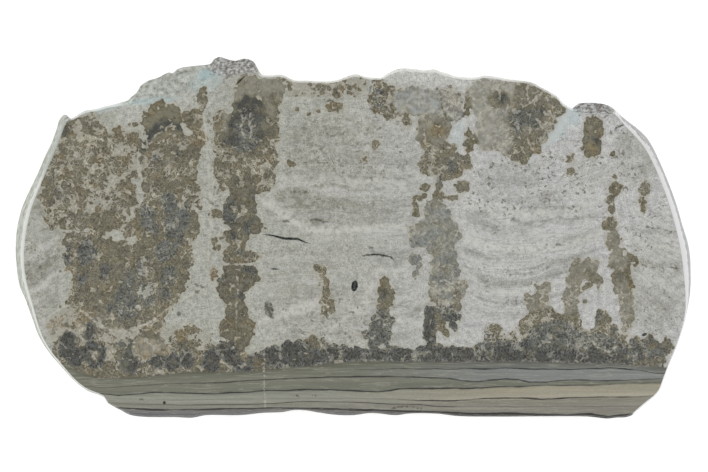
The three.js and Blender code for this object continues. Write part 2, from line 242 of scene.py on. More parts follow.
@dataclass(frozen=True)
class Stroke:
    """A line of the face, given by its corners as x, y, x, y and so on, with its full width."""

    points: Row
    width: float

    def window(self) -> Row:
        """Return the lowest and highest x and y that it reaches."""
        return reach(self.points, self.width)

    def depth(self, x: np.ndarray, y: np.ndarray) -> np.ndarray:
        """Return how far inside its edge each point lies, negative outside."""
        return self.width / 2 - distance_to_line(x, y, pairs(self.points))


@dataclass(frozen=True)
class Region:
    """A patch of the face, given by its corners as x, y, x, y and so on."""

    points: Row

    def window(self) -> Row:
        """Return the lowest and highest x and y that it reaches."""
        return reach(self.points, 0)

    def depth(self, x: np.ndarray, y: np.ndarray) -> np.ndarray:
        """Return how far inside its edge each point lies, negative outside."""
        gap = distance_to_line(x, y, pairs(self.points + self.points[:2]))
        return np.where(inside_loop(x, y, pairs(self.points)), gap, -gap)


Shape = Oval | Stroke | Region


def smoothstep(low: float, high: float, value: np.ndarray) -> np.ndarray:
    """Return 0 below low, 1 above high and an even rise between them."""
    share = np.clip((value - low) / (high - low), 0, 1)
    return share * share * (3 - 2 * share)


# The grown rock, in the order in which it is laid down: each row holds a tone, how closely it is
# packed, and its corners as x, y, x, y and so on, as all lines below are given. Later rows lie over
# earlier ones.
MASSES: tuple[tuple[Tone, Fill, Row], ...] = (
    # the mottled field at the upper left
    (Tone.BROWN, Fill.DENSE, (-105, 43, -99, 41.5, -92, 44, -88, 40, -86, 34, -86, 24, -88, 20, -93, 18,
        -96, 9, -104, 8, -109, 10, -111, 19, -108, 28, -105.5, 36)),
    (Tone.OLIVE, Fill.DENSE, (-104.5, 41, -98, 41, -93, 42, -94, 36, -100, 33, -101, 22, -109, 20,
        -106, 32)),
    (Tone.BROWN, Fill.LOOSE, (-95, 23, -78, 24, -77, 12, -84, 7, -96, 8, -100, 14)),
    (Tone.BROWN, Fill.PACKED, (-97, 24, -85, 25, -83, 17, -86, 9, -98, 8, -100, 14)),
    (Tone.BROWN, Fill.PACKED, (-87, 37, -79, 38, -75, 38, -75, 30, -80, 24, -88, 24)),
    (Tone.BROWN, Fill.PACKED, (-88, 31, -76, 30, -77, 21, -87, 21)),
    (Tone.BROWN, Fill.PACKED, (-108, 9, -97, 11, -84, 10, -78, 12, -78, 2, -100, 3, -108, 3)),
    (Tone.OLIVE, Fill.PACKED, (-104, -25, -68, -25, -66, -30, -67, -37, -86, -39, -105, -37)),
    (Tone.BROWN, Fill.LOOSE, (-66, -32, -58, -31, -50, -34, -50, -39, -66, -39)),
    # the lower left mass
    (Tone.BROWN, Fill.SOLID, (-101.5, 2.3, -103.5, -2.5, -102.8, -6, -103, -9, -102, -11.5, -100, -12.5,
        -99.8, -16, -99.5, -20, -100.2, -22.5, -102, -25, -96, -27, -91, -26, -88, -30, -84, -32.5,
        -79, -33, -76.5, -30, -76, -22, -76, -12, -78, -5, -80, -1, -84, -2, -88, 0.5,
        -92, 2.5)),
    (Tone.OLIVE, Fill.PACKED, (-90, -24, -84, -24, -83, -34, -88, -35, -92, -32)),
    (Tone.TAN, Fill.DENSE, (-99.5, -26, -97, -26, -91, -27, -92, -32, -98, -34, -100, -32)),
    # the second column
    (Tone.BROWN, Fill.SOLID, (-74, 35, -75, 40, -73.5, 45, -70, 47.5, -65, 47.5, -61.5, 45.5, -60, 41,
        -61, 36)),
    (Tone.BROWN, Fill.DENSE, (-73, 37, -61, 37, -54, 36, -54, 26, -56, 19, -74, 19, -75.5, 28)),
    (Tone.BROWN, Fill.LOOSE, (-60, 21, -53, 21, -53.5, 10, -59, 10)),
    (Tone.SLATE, Fill.PACKED, (-77, -5, -69.5, -5, -69, -23, -75, -24)),
    (Tone.BROWN, Fill.SOLID, (-74, 20, -74.5, 14, -76.5, 12, -77, 9, -78, 5.5, -80, 4, -81.5, 2.5,
        -80.5, -0.5, -77, 0.5, -78.5, -2, -80, -4, -78, -10, -75.5, -7, -71, -6, -69.5, -12, -70.5, -20,
        -75, -23, -75, -29, -71, -31, -66, -28, -62, -24, -60, -19, -58, -14, -58, -12, -56.5, -8,
        -57.5, -5.5, -55, -3.5, -56, -1, -54.3, 2, -54.5, 5, -55, 7, -57, 10.5, -60, 13, -60, 17,
        -58, 21, -58, 23, -62, 21, -68, 23)),
    # the third column, with its bell-shaped crown
    (Tone.HALO, Fill.SOLID, (-42, 48, -41.5, 55, -38, 57.5, -31, 56.8, -25, 56.5, -23.5, 53, -24.5, 49,
        -27, 44, -40, 42)),
    (Tone.BROWN, Fill.DENSE, (-49.5, 43, -46, 46, -43, 44, -43, 30, -47, 29, -49.5, 33)),
    (Tone.BROWN, Fill.DENSE, (-34, 51, -28, 50, -26, 44, -26, 34, -28.5, 27, -29.5, 21, -33, 22, -33, 30)),
    (Tone.BROWN, Fill.DENSE, (-50, 32, -44, 36, -32, 35, -26.5, 30, -28, 18, -34, 15, -48, 17)),
    (Tone.DARK, Fill.SOLID, (-44, 36, -43.5, 42, -41, 48, -37, 50.3, -33.5, 48, -31.5, 42, -31, 36,
        -34, 32, -41, 31)),
    (Tone.DUSK, Fill.SOLID, (-43.5, 22, -34.3, 22, -34.3, 8, -33, 7, -32.3, 4, -33.5, 2, -36, 1,
        -38, -3.5, -34, -4.5, -31.3, -6, -35.5, -9, -38, -9.5, -42, -9.5, -46, -8.5, -46.5, -5,
        -43.5, -3.5, -47, -1.5, -47, 2, -44, 3, -46, 5, -46, 12, -43.5, 15)),
    (Tone.DUSK, Fill.SOLID, (-48.5, -15, -46, -11, -42, -9.5, -38, -9.5, -33, -11, -33.5, -15,
        -36, -18.5, -38, -20, -38, -23, -37, -28, -34.5, -31, -36, -37, -39.5, -42, -44, -38, -47, -34,
        -46, -29, -45, -24, -47, -20)),
    # the mottled strip under the growth top
    (Tone.OLIVE, Fill.PACKED, (-24, 56, -2, 56, -4, 49, -12, 50.5, -22, 50)),
    (Tone.BROWN, Fill.PACKED, (-2.5, 57, 4.5, 57, 4, 50, -2, 50)),
    # the fourth column
    (Tone.HALO, Fill.LOOSE, (12, 52, 22, 53, 33, 53, 39, 51, 38, 46, 12, 45)),
    (Tone.BROWN, Fill.DENSE, (10, 57, 7, 55.5, 6.3, 53, 5.2, 49, 6, 46, 7.5, 44.5, 10.5, 43.5, 12.5, 42,
        15, 43, 17.5, 43.5, 16, 48, 14, 53)),
    (Tone.GREY, Fill.SOLID, (14, 51, 16, 45, 19, 43, 22.5, 43, 30, 43, 33, 46, 32, 51, 28, 53, 24, 52.5,
        20, 51.5)),
    (Tone.FAWN, Fill.SOLID, (31, 50.5, 34, 50.8, 37, 50, 39.5, 47, 39.5, 43, 36, 40.5, 32, 42, 31, 46)),
    (Tone.HALO, Fill.SOLID, (22.5, 43, 27, 44, 33, 43.5, 35, 40, 34, 35, 31.5, 31.5, 27, 30.3, 23.5, 32,
        23, 37)),
    (Tone.OLIVE, Fill.DENSE, (24, 30, 30, 31, 33, 33.5, 36.5, 32.5, 38, 30, 41.5, 29, 41, 24, 38, 21.5,
        34, 20, 29, 21, 24, 22, 23, 26)),
    (Tone.OLIVE, Fill.SOLID, (28.7, 22, 31.6, 22, 31.8, 16, 31.4, 12.5, 29.2, 12.5, 28.8, 17)),
    (Tone.LILAC, Fill.SOLID, (26, 12.8, 32.5, 12.5, 33.5, 8, 38, 5, 38.5, 1, 35.5, -2, 37, -4, 37, -10,
        37.5, -14, 40, -15, 40, -20, 37, -24, 31, -24.5, 27, -23, 26.5, -15, 28, -8, 26, -4, 20.5, -3,
        20, 4, 24, 6, 26, 8)),
    (Tone.UMBER, Fill.DENSE, (25.5, -24, 33, -23.5, 33.5, -31, 30, -33, 27.5, -37.5, 25, -36)),
    # the right-hand crown
    (Tone.VEIL, Fill.DENSE, (40.5, 54, 44, 56, 52, 56.5, 62, 55, 68, 52.5, 72, 50, 75, 46, 74.5, 43.5,
        72, 40, 70, 36.5, 68, 33.5, 65.5, 30, 63, 29.3, 58.5, 27.5, 54, 28.5, 50, 31, 45, 30, 43, 35,
        43, 42, 40, 47)),
    (Tone.OLIVE, Fill.DENSE, (59, 53, 62, 55, 68, 52.5, 72, 50, 75, 46, 74.5, 43.5, 72, 40, 70, 36.5,
        68, 33.5, 65, 34, 60, 33, 56, 34, 55, 38, 56, 47)),
    (Tone.OLIVE, Fill.SOLID, (47.5, 49.5, 51, 52, 55, 50, 54.5, 46.5, 49, 46)),
    (Tone.BROWN, Fill.PACKED, (56, 32, 56, 27.5, 59, 26, 64, 30, 66, 34, 60, 35)),
    # the narrow column at the right
    (Tone.OLIVE, Fill.DENSE, (99, -9, 96, -4, 96, -7, 95, -10, 97, -11)),
    # the shrubs at the lower right
    (Tone.HALO, Fill.DENSE, (60.5, -20, 64, -21, 65, -17, 68, -15.4, 70.6, -16, 70.5, -20, 69, -24,
        69.5, -32, 60, -34, 61.5, -27, 60.5, -24)),
    (Tone.HALO, Fill.SOLID, (78, -7.5, 82, -8, 86, -7, 88, -9, 85.5, -12, 88, -15, 87, -18, 84, -17.5,
        82, -15.5, 80, -17, 79, -22, 79.5, -30, 75, -30, 74.5, -22, 75, -17, 76, -13,
        77, -10)),
    (Tone.BROWN, Fill.DENSE, (59, -33, 60.5, -28, 64, -26, 69, -25.5, 71, -26, 75, -27, 79.5, -28,
        81, -30, 84, -32, 87, -31.5, 88, -27.5, 89, -26, 90.5, -27.5, 91, -31.5, 97, -34, 98, -42,
        58, -42)),
    (Tone.SLATE, Fill.SOLID, (60, -40, 61, -34, 66, -31, 72, -29, 78, -31, 84, -34, 90, -33, 96, -38,
        97, -44, 60, -44)),
    (Tone.UMBER, Fill.PACKED, (46, -31, 52, -31, 53, -35, 58, -32, 58.5, -43, 46, -43)),
    # the dark speckled band at the base
    (Tone.LOAM, Fill.DENSE, (-107, -38, -103, -35, -98, -37, -94, -37, -88, -39, -80, -36, -76, -41,
        -66, -40, -60, -36, -54, -39, -46, -37, -36, -41, -30, -38, -24, -37, -18, -36, -12, -35.5,
        -8, -38, 0, -39, 8, -38, 14, -39, 22, -39, 28, -38, 36, -38.5, 46, -38, 52, -37, 60, -38,
        70, -39, 84, -39, 96, -38, 100, -35.5, 104, -37, 106, -35.5, 109, -38, 113, -37, 110, -48,
        95, -47, 75, -46.5, 58, -46, 0, -46, -20, -48, -40, -49.7, -60, -49.7, -65, -50.5, -80, -52,
        -90, -52, -99, -48, -106, -42)),
    (Tone.BROWN, Fill.PACKED, (-107, -36, -80, -37, -79, -47, -68, -44, -62, -40, -50, -38, -40, -41,
        -38, -47, -60, -48, -80, -50, -95, -49, -104, -43)),
    (Tone.TAN, Fill.DENSE, (-77, -36, -72, -35, -66, -38, -65, -42, -70, -43, -76, -43, -78, -40)),
    (Tone.TAN, Fill.PACKED, (-109, -30, -105, -27, -102, -29, -103, -35, -108, -35)),
)

# Single clots and branches: a tone and the ovals that carry it, each by its middle, half sizes and turn.
CLOTS: tuple[tuple[Tone, Rows], ...] = (
    (Tone.BROWN, ((-80, 20, 1, 0.8), (-82, 17, 0.8, 0.9), (-78, 18, 0.9, 0.7), (-80.5, 14, 1, 1.1),
        (-77.5, 14.5, 0.8, 0.8), (-82.5, 12, 0.9, 0.8), (-79, 11.5, 0.8, 0.7), (-77, 22, 0.8, 1),
        (-56, 17, 1, 0.9), (-57.5, 14, 0.9, 0.8), (-83, 35.3, 1.2, 1.2), (-84, 38, 1.6, 0.8, 20),
        (-77.3, 40, 1, 0.5), (-83, 26.5, 3.2, 1.8, 15), (-78.5, 34.7, 2.3, 2), (-107.3, 6, 2, 1.5),
        (-103.5, 5, 0.8, 0.6), (-101.5, 3.5, 0.9, 0.6), (-85, 8, 2.3, 1.8), (-89.5, 4, 1.8, 4.5, 10),
        (-84.5, 4.5, 1.5, 1.3), (-86.5, 3, 0.9, 0.9), (-111, 14.5, 1.4, 1.2), (-72, -10, 1.3, 1.3),
        (-71, -13, 0.9, 1), (-73.5, -15, 0.8, 0.8), (-71.5, -32, 3, 2.8), (-57, 42, 4, 3.6),
        (-58, 27, 3, 3), (-53.2, 49.3, 1.6, 3.3, -10), (-48.5, 8.5, 2, 1.8), (-49, -1.3, 1, 1),
        (-48, -3.5, 1, 0.9), (-43, -6.5, 3, 2.6), (-45.5, -32, 2, 2), (-41, -31, 2.2, 2),
        (-37, -32, 2, 2), (-39.5, -40, 1.5, 2.5), (-5, 51, 1.6, 1.6), (-6.5, 46, 2.6, 1.8),
        (-20, 45.6, 0.6, 0.5), (-15.5, 44, 0.5, 0.5), (-12.5, 45, 0.5, 0.5), (-22, 26.3, 1.2, 1.1),
        (19, 41, 1.5, 2.2), (25.3, 17.7, 1.5, 1.5), (25, 15, 0.9, 0.9), (23, 14, 0.9, 0.7),
        (21.5, 13.3, 0.7, 0.6), (21.8, 12, 0.7, 0.9), (22, 9.5, 0.8, 0.9), (22.5, 8.3, 0.7, 0.7),
        (34.8, 31.6, 2, 1.4), (41, 34, 1.6, 3.3), (42.6, 34, 1, 1), (8, 33, 1.2, 1.8),
        (5.6, 39, 0.7, 0.8), (4, 28, 0.7, 0.8), (40.2, 46, 0.9, 2), (64, 31.5, 2.2, 1.5),
        (60.5, 27.5, 1.4, 1.2), (85, 38, 3.6, 4.6, -4), (84.6, 33, 3.4, 5, -6), (76.8, 28, 0.8, 1.6, -8),
        (77, 23.5, 0.8, 1.5, -10), (92.2, 21.8, 0.5, 0.6), (91.8, 29.5, 0.6, 0.6), (92.5, 17.5, 2.3, 2.3),
        (91.2, 13.6, 0.9, 2, -25), (91.2, 10, 1.2, 1.5), (91.5, 5, 2, 2.5), (89.3, 4.5, 1.2, 1),
        (97.5, -7.5, 2.6, 1.2, -15), (100.8, -9, 1, 1), (95, -14, 3.3, 3.4), (103.3, 17, 1.7, 2.4, -15),
        (102.5, 12.5, 1, 2.4), (-12, -11, 1.8, 1.8), (-11, -14.3, 1.3, 2.2), (-9.6, -17, 1.2, 2.4, 10),
        (-9.5, -19.5, 1.4, 2), (-10.2, -22, 1.3, 1.6), (-8, -22.8, 1.5, 1.1), (-10.3, -25.5, 1, 1.8),
        (-7.5, -25.5, 1.1, 1.2), (11, -15.5, 1.7, 1.8), (11.2, -19.5, 2.1, 3.6), (10.6, -24, 2.2, 3.2),
        (12.5, -21, 1.6, 3.4), (92, -33, 2, 2), (88, -29, 2.3, 3.2), (51, -33, 1.5, 1.5),
        (-87, -48.5, 1.5, 0.7), (-57.5, -32, 1.6, 1.5), (-57, -39, 2.5, 2.3), (-14.3, -35.5, 1.2, 1.4),
        (-12.5, -37, 1.2, 1.2), (33, -33.5, 1, 1.3), (30.5, -27.5, 2.3, 3.8))),
    (Tone.OLIVE, ((-95.5, 6, 2.5, 2), (38.5, 18, 2.2, 2), (34.5, 14, 1.7, 0.5), (35.5, -25.5, 2.7, 1.8),
        (103.3, 17.8, 1.5, 1.5), (85.5, -14, 2, 0.7, -25), (83.5, -17, 1.8, 0.8, 40), (31, 25, 1.6, 3.4),
        (-86, -28, 2.4, 4), (93.6, -17.5, 1.6, 2.2))),
    (Tone.HALO, ((92, -1, 2.6, 3.3), (93.5, -5.5, 2, 2.4), (93.5, -8.5, 3, 2.8), (96.5, -22, 2.8, 2.5),
        (97, -28, 2.3, 5), (96.5, -18, 2.8, 2.8), (82, -22.5, 0.7, 0.7))),
    (Tone.RUST, ((-54.5, 35, 3, 3.4), (-49.5, -12.5, 1.3, 1.7), (98.4, -14.5, 0.9, 2.6, 10),
        (-61, -35, 1.3, 1.5))),
    (Tone.LILAC, ((21.8, -8, 2, 1.8), (22.6, -11.5, 0.8, 2, -20), (34, -12, 3.4, 2), (30, -3, 4, 3),
        (28, 9, 3, 3), (32, 6, 3.4, 3), (35, 1, 3, 3), (32, -8, 3.6, 3))),
    (Tone.SLATE, ((9.5, -28.5, 2.8, 2.6), (8.5, -32, 3, 3), (5, -34.5, 1.8, 1.6), (10.5, -35, 3, 3.4),
        (13.4, -29.5, 1.2, 1.6), (7, -37.5, 2, 1.6), (37, -28, 1.4, 1.6), (36, -32, 1, 1.6),
        (28, -36, 1.4, 2), (33.5, -27, 1.6, 2.4))),
    (Tone.INKY, ((-101, -36.5, 2.6, 2.6), (-101.5, -40, 2, 2), (-99, -42.5, 2.5, 2.3),
        (-96, -41, 1.5, 1.5), (-91, -41.5, 2.6, 3.5), (-93, -33.5, 0.9, 2.2), (-78.5, -45, 2.4, 2.2),
        (-69, -44, 2, 1.8), (-64, -44, 2.3, 2), (-59, -43, 2, 2.2), (-50, -43.5, 2.4, 3.2),
        (-44.5, -40, 2.6, 3), (-42, -43.5, 1.8, 1.8), (-39, -46, 2, 1.2), (-28.5, -42, 2.2, 2.4),
        (-21.5, -41, 3.6, 4.6), (15, -42.5, 2, 1.4), (19, -41.5, 1.8, 1.8), (46, -42.5, 1.8, 1.2),
        (26.6, -31, 1.4, 6.3), (63, -38, 1.8, 1.8), (71.5, -38.5, 2, 1.8), (-33, -44, 2.4, 2),
        (-15, -42, 3, 2.4), (-8, -41, 2.6, 1.8), (0, -41.5, 3, 1.8), (8, -41.5, 2.6, 1.6),
        (26, -41.5, 2.6, 2), (33, -41, 2.4, 2), (40, -41.5, 2.6, 1.8), (53, -41, 2.6, 2.2),
        (58, -42.5, 3, 1.4), (67, -42.5, 3, 1.6), (77, -42.5, 3.6, 1.6), (86, -42.5, 3.4, 1.6),
        (94, -42, 3, 1.8))),
    (Tone.UMBER, ((99.5, -37.5, 2.2, 2.6), (105, -37.5, 2.2, 2.6), (111, -38, 1.9, 2.4),
        (102, -42.5, 3.6, 1.6), (108.5, -42, 2, 2))),
)

# Colour inside the grown rock: these change the tone only where there is rock to change.
CORES: tuple[tuple[Tone, Rows], ...] = (
    (Tone.BLUE, ((-72.8, 9.5, 2.6, 2.6), (-64, 9, 2.4, 7, 6), (-66, -4.5, 4, 3.6), (-80, -16, 2.2, 4.2),
        (-80, -24, 3.6, 6.6), (-73, -21.5, 2.6, 2.4), (-37.8, 3, 1.9, 2.2), (-39.5, -4.5, 1.6, 1.6),
        (-65, -14, 3, 4), (-59.5, 8, 2.4, 5), (72, -35, 6, 4.6), (86, -29, 2.2, 3), (-38, 36, 3, 4.6),
        (62, 42, 5, 4), (-81.5, -42, 2.2, 6.4))),
    (Tone.DARK, ((-94.5, -5.5, 3.2, 4.6), (-101.6, -4.6, 1.4, 6.4), (-37, 47, 3, 2.2),
        (-41.6, 42, 1.5, 4), (-33.4, 43, 1.2, 4), (-44.5, 33, 1.5, 2), (-38, 32, 2.2, 1.4),
        (-43.5, 9, 2.4, 4.6), (-42.3, 0.7, 0.7, 2.3), (-38, -11.5, 2, 1.5), (-39.7, -20.5, 1.7, 1.5),
        (8.5, 51.5, 1.9, 1.7), (8.3, 48.5, 2, 1.9), (34, 25, 2, 3), (52.5, 49, 2.2, 2),
        (60, 42, 4.4, 4.6), (64.3, 44.2, 4.4, 2.8), (85.6, 34, 1.7, 2.4), (92, -33, 1.5, 1.5),
        (95, -13.5, 1.2, 1.4), (11, -20, 1.1, 3), (-44.2, -40, 1.6, 2), (-67, -20, 2.4, 3.4),
        (-88, -12, 3, 3.4), (-61, 0, 1.4, 4), (-71, 4, 2, 2.4), (-96, -16, 2, 4))),
    (Tone.BLACK, ((94, -33.5, 0.8, 0.9), (63, -38, 1.2, 1.2), (71.5, -38.5, 1.3, 1.2), (52.5, 49, 1, 1),
        (-99, -42.5, 1.2, 1.2), (-59, -43, 1, 1.3), (-50, -42, 1.2, 1.8), (-20, -38, 1.3, 1.6),
        (-23, -43, 1.4, 1.4), (-64, -44.3, 1, 1))),
    (Tone.SLATE, ((-73.5, 7.5, 2.6, 4.4, -12), (-65.5, 12.5, 2.6, 3.6), (-64.5, 3, 3.2, 5),
        (-67, -5, 4, 3.4), (-80.5, -15, 2.6, 4.6), (-80.5, -24.5, 4, 6.4), (-72.5, -21.5, 2.8, 2.8),
        (-86, -24, 1.8, 3), (-93.5, -5, 2.4, 4), (71, -34, 7, 4.2), (64, -37, 4, 3.4), (78, -38, 5, 3),
        (88, -38, 5, 2.6), (47, -39, 3, 3), (-80.5, -42, 2, 6.4), (-64, -43.5, 2, 1.6),
        (-38, 39.5, 3.6, 6.4), (-34.5, 46, 1.6, 2), (62, 42.5, 4.6, 3.8), (57.5, 38.5, 2.2, 3),
        (30.5, -26, 1.8, 3.4), (-43.5, 9, 1.8, 4), (-37.6, 3, 1.8, 2.2), (31, 21, 1.4, 3),
        (8.5, 51, 2.2, 2), (8.6, 47.4, 2.2, 1.6), (34, 25.4, 1.8, 2.6), (106, -41, 4, 2),
        (100, -41, 3, 2))),
    (Tone.RUST, ((-101, 26, 3.4, 4), (-83.5, 37, 1.8, 2), (-55, 35.5, 2.6, 3.2), (-60, 41.5, 3, 2.6),
        (-53, 48.5, 1.6, 2.4), (-93, 20, 1.8, 1.4), (-95, -28, 3.4, 2.2), (-100, -12, 1.6, 1.6),
        (-66, -25, 2, 1.6), (-79, 30, 2, 1.6), (-70, 22, 2, 2), (-31, 38, 2, 4), (-29.5, 27, 2, 3),
        (-47, 39, 1.6, 3), (-34, 26, 1.6, 1.6), (-49.5, -12.5, 1.4, 1.8), (-40, -36, 2.8, 2),
        (25.8, 33.6, 2, 2.4), (30, 38, 3, 3), (27.6, 27, 1.8, 2.2), (37.5, 24, 1.2, 2.4),
        (73, 44.5, 1.6, 3), (64, 31, 3, 1.8), (84, 31.5, 2, 2.6), (85, 38, 1.8, 2.2),
        (98.4, -14.5, 0.9, 2.6, 10), (-61, -35, 1.6, 1.5), (-33.5, -45.5, 2, 4.5), (-71, -33, 2, 1.6),
        (-3, 52, 2.4, 3.4), (-8, 46, 3, 1.6), (-94, 34, 2.4, 2), (-105, 21, 1.4, 3), (92, 14.5, 1, 2),
        (-90, 27, 2, 2), (-96, 17, 2, 1.6), (-44, -31, 1.6, 2), (-21.5, 26, 1.2, 1), (116, -10, 1.4, 2))),
    (Tone.OLIVE, ((-98, 30, 4, 8), (-45.5, 0.3, 1.5, 2.2), (36.5, -21, 1.6, 2.2), (-84, -12, 2, 4),
        (71, 43.5, 2, 3.4), (84.5, 40, 2.6, 2), (-91, -14, 2, 6))),
    (Tone.UMBER, ((-106, 30, 1.6, 8), (-101, 38, 3, 3), (-104, 15, 3, 4), (-70, 27, 2.6, 4),
        (-63, 30, 2, 3), (37, 24, 1.2, 2), (-98.5, -29, 0.8, 5))),
    (Tone.INKY, ((-37, 43.5, 3.4, 3.6), (-91, -42, 1.6, 2.2), (-101, -37.5, 1.6, 1.6),
        (-45, -40.5, 1.4, 1.6))),
    (Tone.TAN, ((61, 37.8, 1.5, 1.4), (64, 31.5, 1.4, 0.9), (-65, 26, 1.6, 2), (-91, -41.5, 1, 1.6))),
)

# Smooth dark arches inside the columns: a tone, a width and corners
ARCHES: tuple[tuple[Tone, float, Row], ...] = (
    (Tone.HALO, 3.0, (-46, 38, -45, 44, -42.5, 49.5, -37, 53, -31, 50, -29, 44)),
    (Tone.DARK, 3.4, (-74, 32, -72.5, 36.5, -69, 39.5, -66, 40, -62, 38.5)),
    (Tone.BLACK, 1.6, (-70.5, 38.4, -68, 39.8, -65, 39.6)),
    (Tone.DARK, 3.4, (-43.4, 35, -42.6, 42, -40.6, 46.6, -37, 49.4, -33.9, 46.6, -32.4, 42, -32, 37)),
    (Tone.BLACK, 1.8, (-42.4, 41, -40.4, 46.2, -37.2, 48.6, -34.4, 46)),
)

# Parts of the grown rock that are smooth and cloudy, not clotted: patches, and a band along each arch
CALM: Rows = (
    (-67.5, 42.5, 7, 5.5, 0, 1.0), (-66.5, 38.6, 6.5, 3, -8, 0.9), (-33, 54, 9, 4.6, 0, 1.0),
    (-37.5, 48, 7, 4, 0, 0.8), (22.5, 47.5, 8.5, 4.6, 0, 1.0), (45, 42, 6, 12, 0, 0.9),
    (52, 52, 10, 4, 0, 0.5), (-80.5, -42, 2.2, 5.5, 0, 0.8), (84.8, 35, 3.2, 6.4, 0, 0.7),
    (28, 38, 5, 5, 0, 0.6), (-71, -38.5, 5, 4, 0, 0.8), (11, -19, 3, 6, 0, 0.5), (62, -21, 9, 6, 0, 0.4),
    (84, -11, 7, 5, 0, 0.4), (94, -6, 5, 10, 0, 0.4), (30, 0, 8, 14, 0, 0.4), (-39, 8, 7, 15, 0, 0.4),
    (-41, -24, 7, 16, 0, 0.4), (-84, -10, 8, 10, 0, 0.2), (63.5, 43.5, 6, 5, 0, 0.4),
    (-99, 38, 5, 4, 0, 0.6),
)
CALM_ARCHES: Strokes = tuple((0.8, width + 1, points) for _, width, points in ARCHES)
# The dark knots of the band at the base are smooth in the middle too
KNOTS: Rows = tuple((*knot[:4], 0, 0.5) for tone, ovals in CLOTS if tone is Tone.INKY for knot in ovals)

# Lines drawn in the rock, dark and pale, each a width and its corners
DARK_LINES: tuple[tuple[float, Row], ...] = (
    (0.3, (99, -8, 101, -9.3, 104, -10.3, 108, -10.8, 112, -10.5, 116, -11)),
    (0.5, (102, 4, 108, 3.2, 114, 2)),
    (0.8, (4.2, -6.2, 8.1, -5.9, 13, -6.7, 14, -7.6)),
    (0.9, (-15, 6.3, -11.5, 6.3)),
    (0.7, (-10.5, 5.6, -9, 5.6)),
    (0.7, (-24.6, 5.8, -23, 5.8)),
    (0.8, (-51.5, 13.5, -49.5, 11.8, -47, 11)),
    (0.8, (-45.6, 55.8, -43.8, 57.3)),
    (0.7, (-10, 48.5, -7, 48.5)),
    (0.7, (10, 57, 7, 55.5, 6.3, 53, 5.2, 49, 6, 46, 7.5, 44.5, 10.5, 43.5, 12.5, 42)),
    (0.6, (31, 51, 31.5, 46, 33, 42, 36, 40.7, 39.3, 43, 39.6, 48, 37, 51.4)),
    (0.6, (92.5, 38.6, 95, 39.4, 97.4, 40.8)),
    (0.7, (78.5, 46, 79.5, 44.5, 80, 43.3)),
    (0.7, (88, 42.4, 90, 43.2, 92, 44.3, 92.6, 45.2)),
    (0.6, (68.2, -2.7, 69.8, -2.7)),
    (0.6, (72, -2.5, 73.2, -2.5)),
    (0.9, (-56, -16.4, -53, -17.4)),
    (0.6, (14, -60.3, 17, -59.8, 20.5, -59.8, 24, -60.4)),
    (0.2, (-17.5, 26.6, -12, 26.4, -8, 26.6)),
    (0.5, (-22, 16, -19, 16.3, -16, 16.1)),
    (0.9, (-42.8, 3, -42.2, 0.5, -41.6, -1.5)),
    (1.3, (-31, -23.4, -30, -25, -29.4, -26.8, -28.8, -28.2)),
    (1.1, (-29.2, -23.8, -28.6, -25.8)),
    (0.8, (-30.6, -26.4, -29.2, -28.4)),
)
PALE_LINES: tuple[tuple[float, Row], ...] = (
    (0.15, (-31.3, -37, -31.5, -46, -31.2, -60)),
    (0.7, (-94.8, -26.7, -91.3, -29.8, -86, -32.6, -81, -33.2, -75.9, -31.8, -70.8, -29.3, -64.6, -24.7,
        -58.5, -21.1, -53, -16.6)),
    (0.7, (-110, -29.5, -106, -26.6, -103, -24.8, -100, -23.8)),
    (0.6, (83, -35.5, 87, -39, 91, -40.5, 93, -38.5)),
    (0.6, (92.5, 9, 94.5, 6.6, 97, 3.8)),
    (0.35, (-40, 45, -39, 42, -39.8, 39, -38.4, 36, -38.6, 32)),
    (0.35, (-36.4, 44, -37, 41, -36, 38, -36.8, 35)),
    (0.3, (-39, 41, -37.6, 43.6)),
    (0.3, (-37, 40, -35.4, 42)),
    (0.45, (-72, 33, -70, 36.4, -66.5, 37.4, -63, 36)),
    (0.8, (-53, 44, -51.8, 34, -51.2, 24, -50.6, 14, -50.4, 4, -51.5, -8)),
    (0.3, (-49.5, 28, -49.9, 12, -49.6, 2)),
    (0.5, (28, -16, 32, -15, 36, -16.6)),
    (0.5, (28.5, -19, 32, -18, 35, -19)),
    (0.3, (30.2, -26, 30.4, -22, 29.6, -17, 30.6, -8)),
    (0.3, (-41.3, -13, -40.5, -18, -41.4, -24, -41.3, -30)),
)
# Small dark dots, each an oval
DOTS: Rows = (
    (-55.2, -19.3, 0.8, 0.8), (-61.5, -27, 0.7, 0.7), (-67, -39.8, 0.9, 0.8), (6.3, -3.5, 0.7, 0.4),
    (11.2, -1, 0.6, 0.4), (3.5, -15.8, 0.4, 0.4), (81.5, -23, 0.6, 0.6), (54.5, -1.3, 0.5, 0.4),
    (-75, -57.2, 0.8, 0.3), (-20, -56, 1.2, 0.3), (-13, -56, 0.9, 0.3), (-103.5, -12, 0.5, 0.5),
)

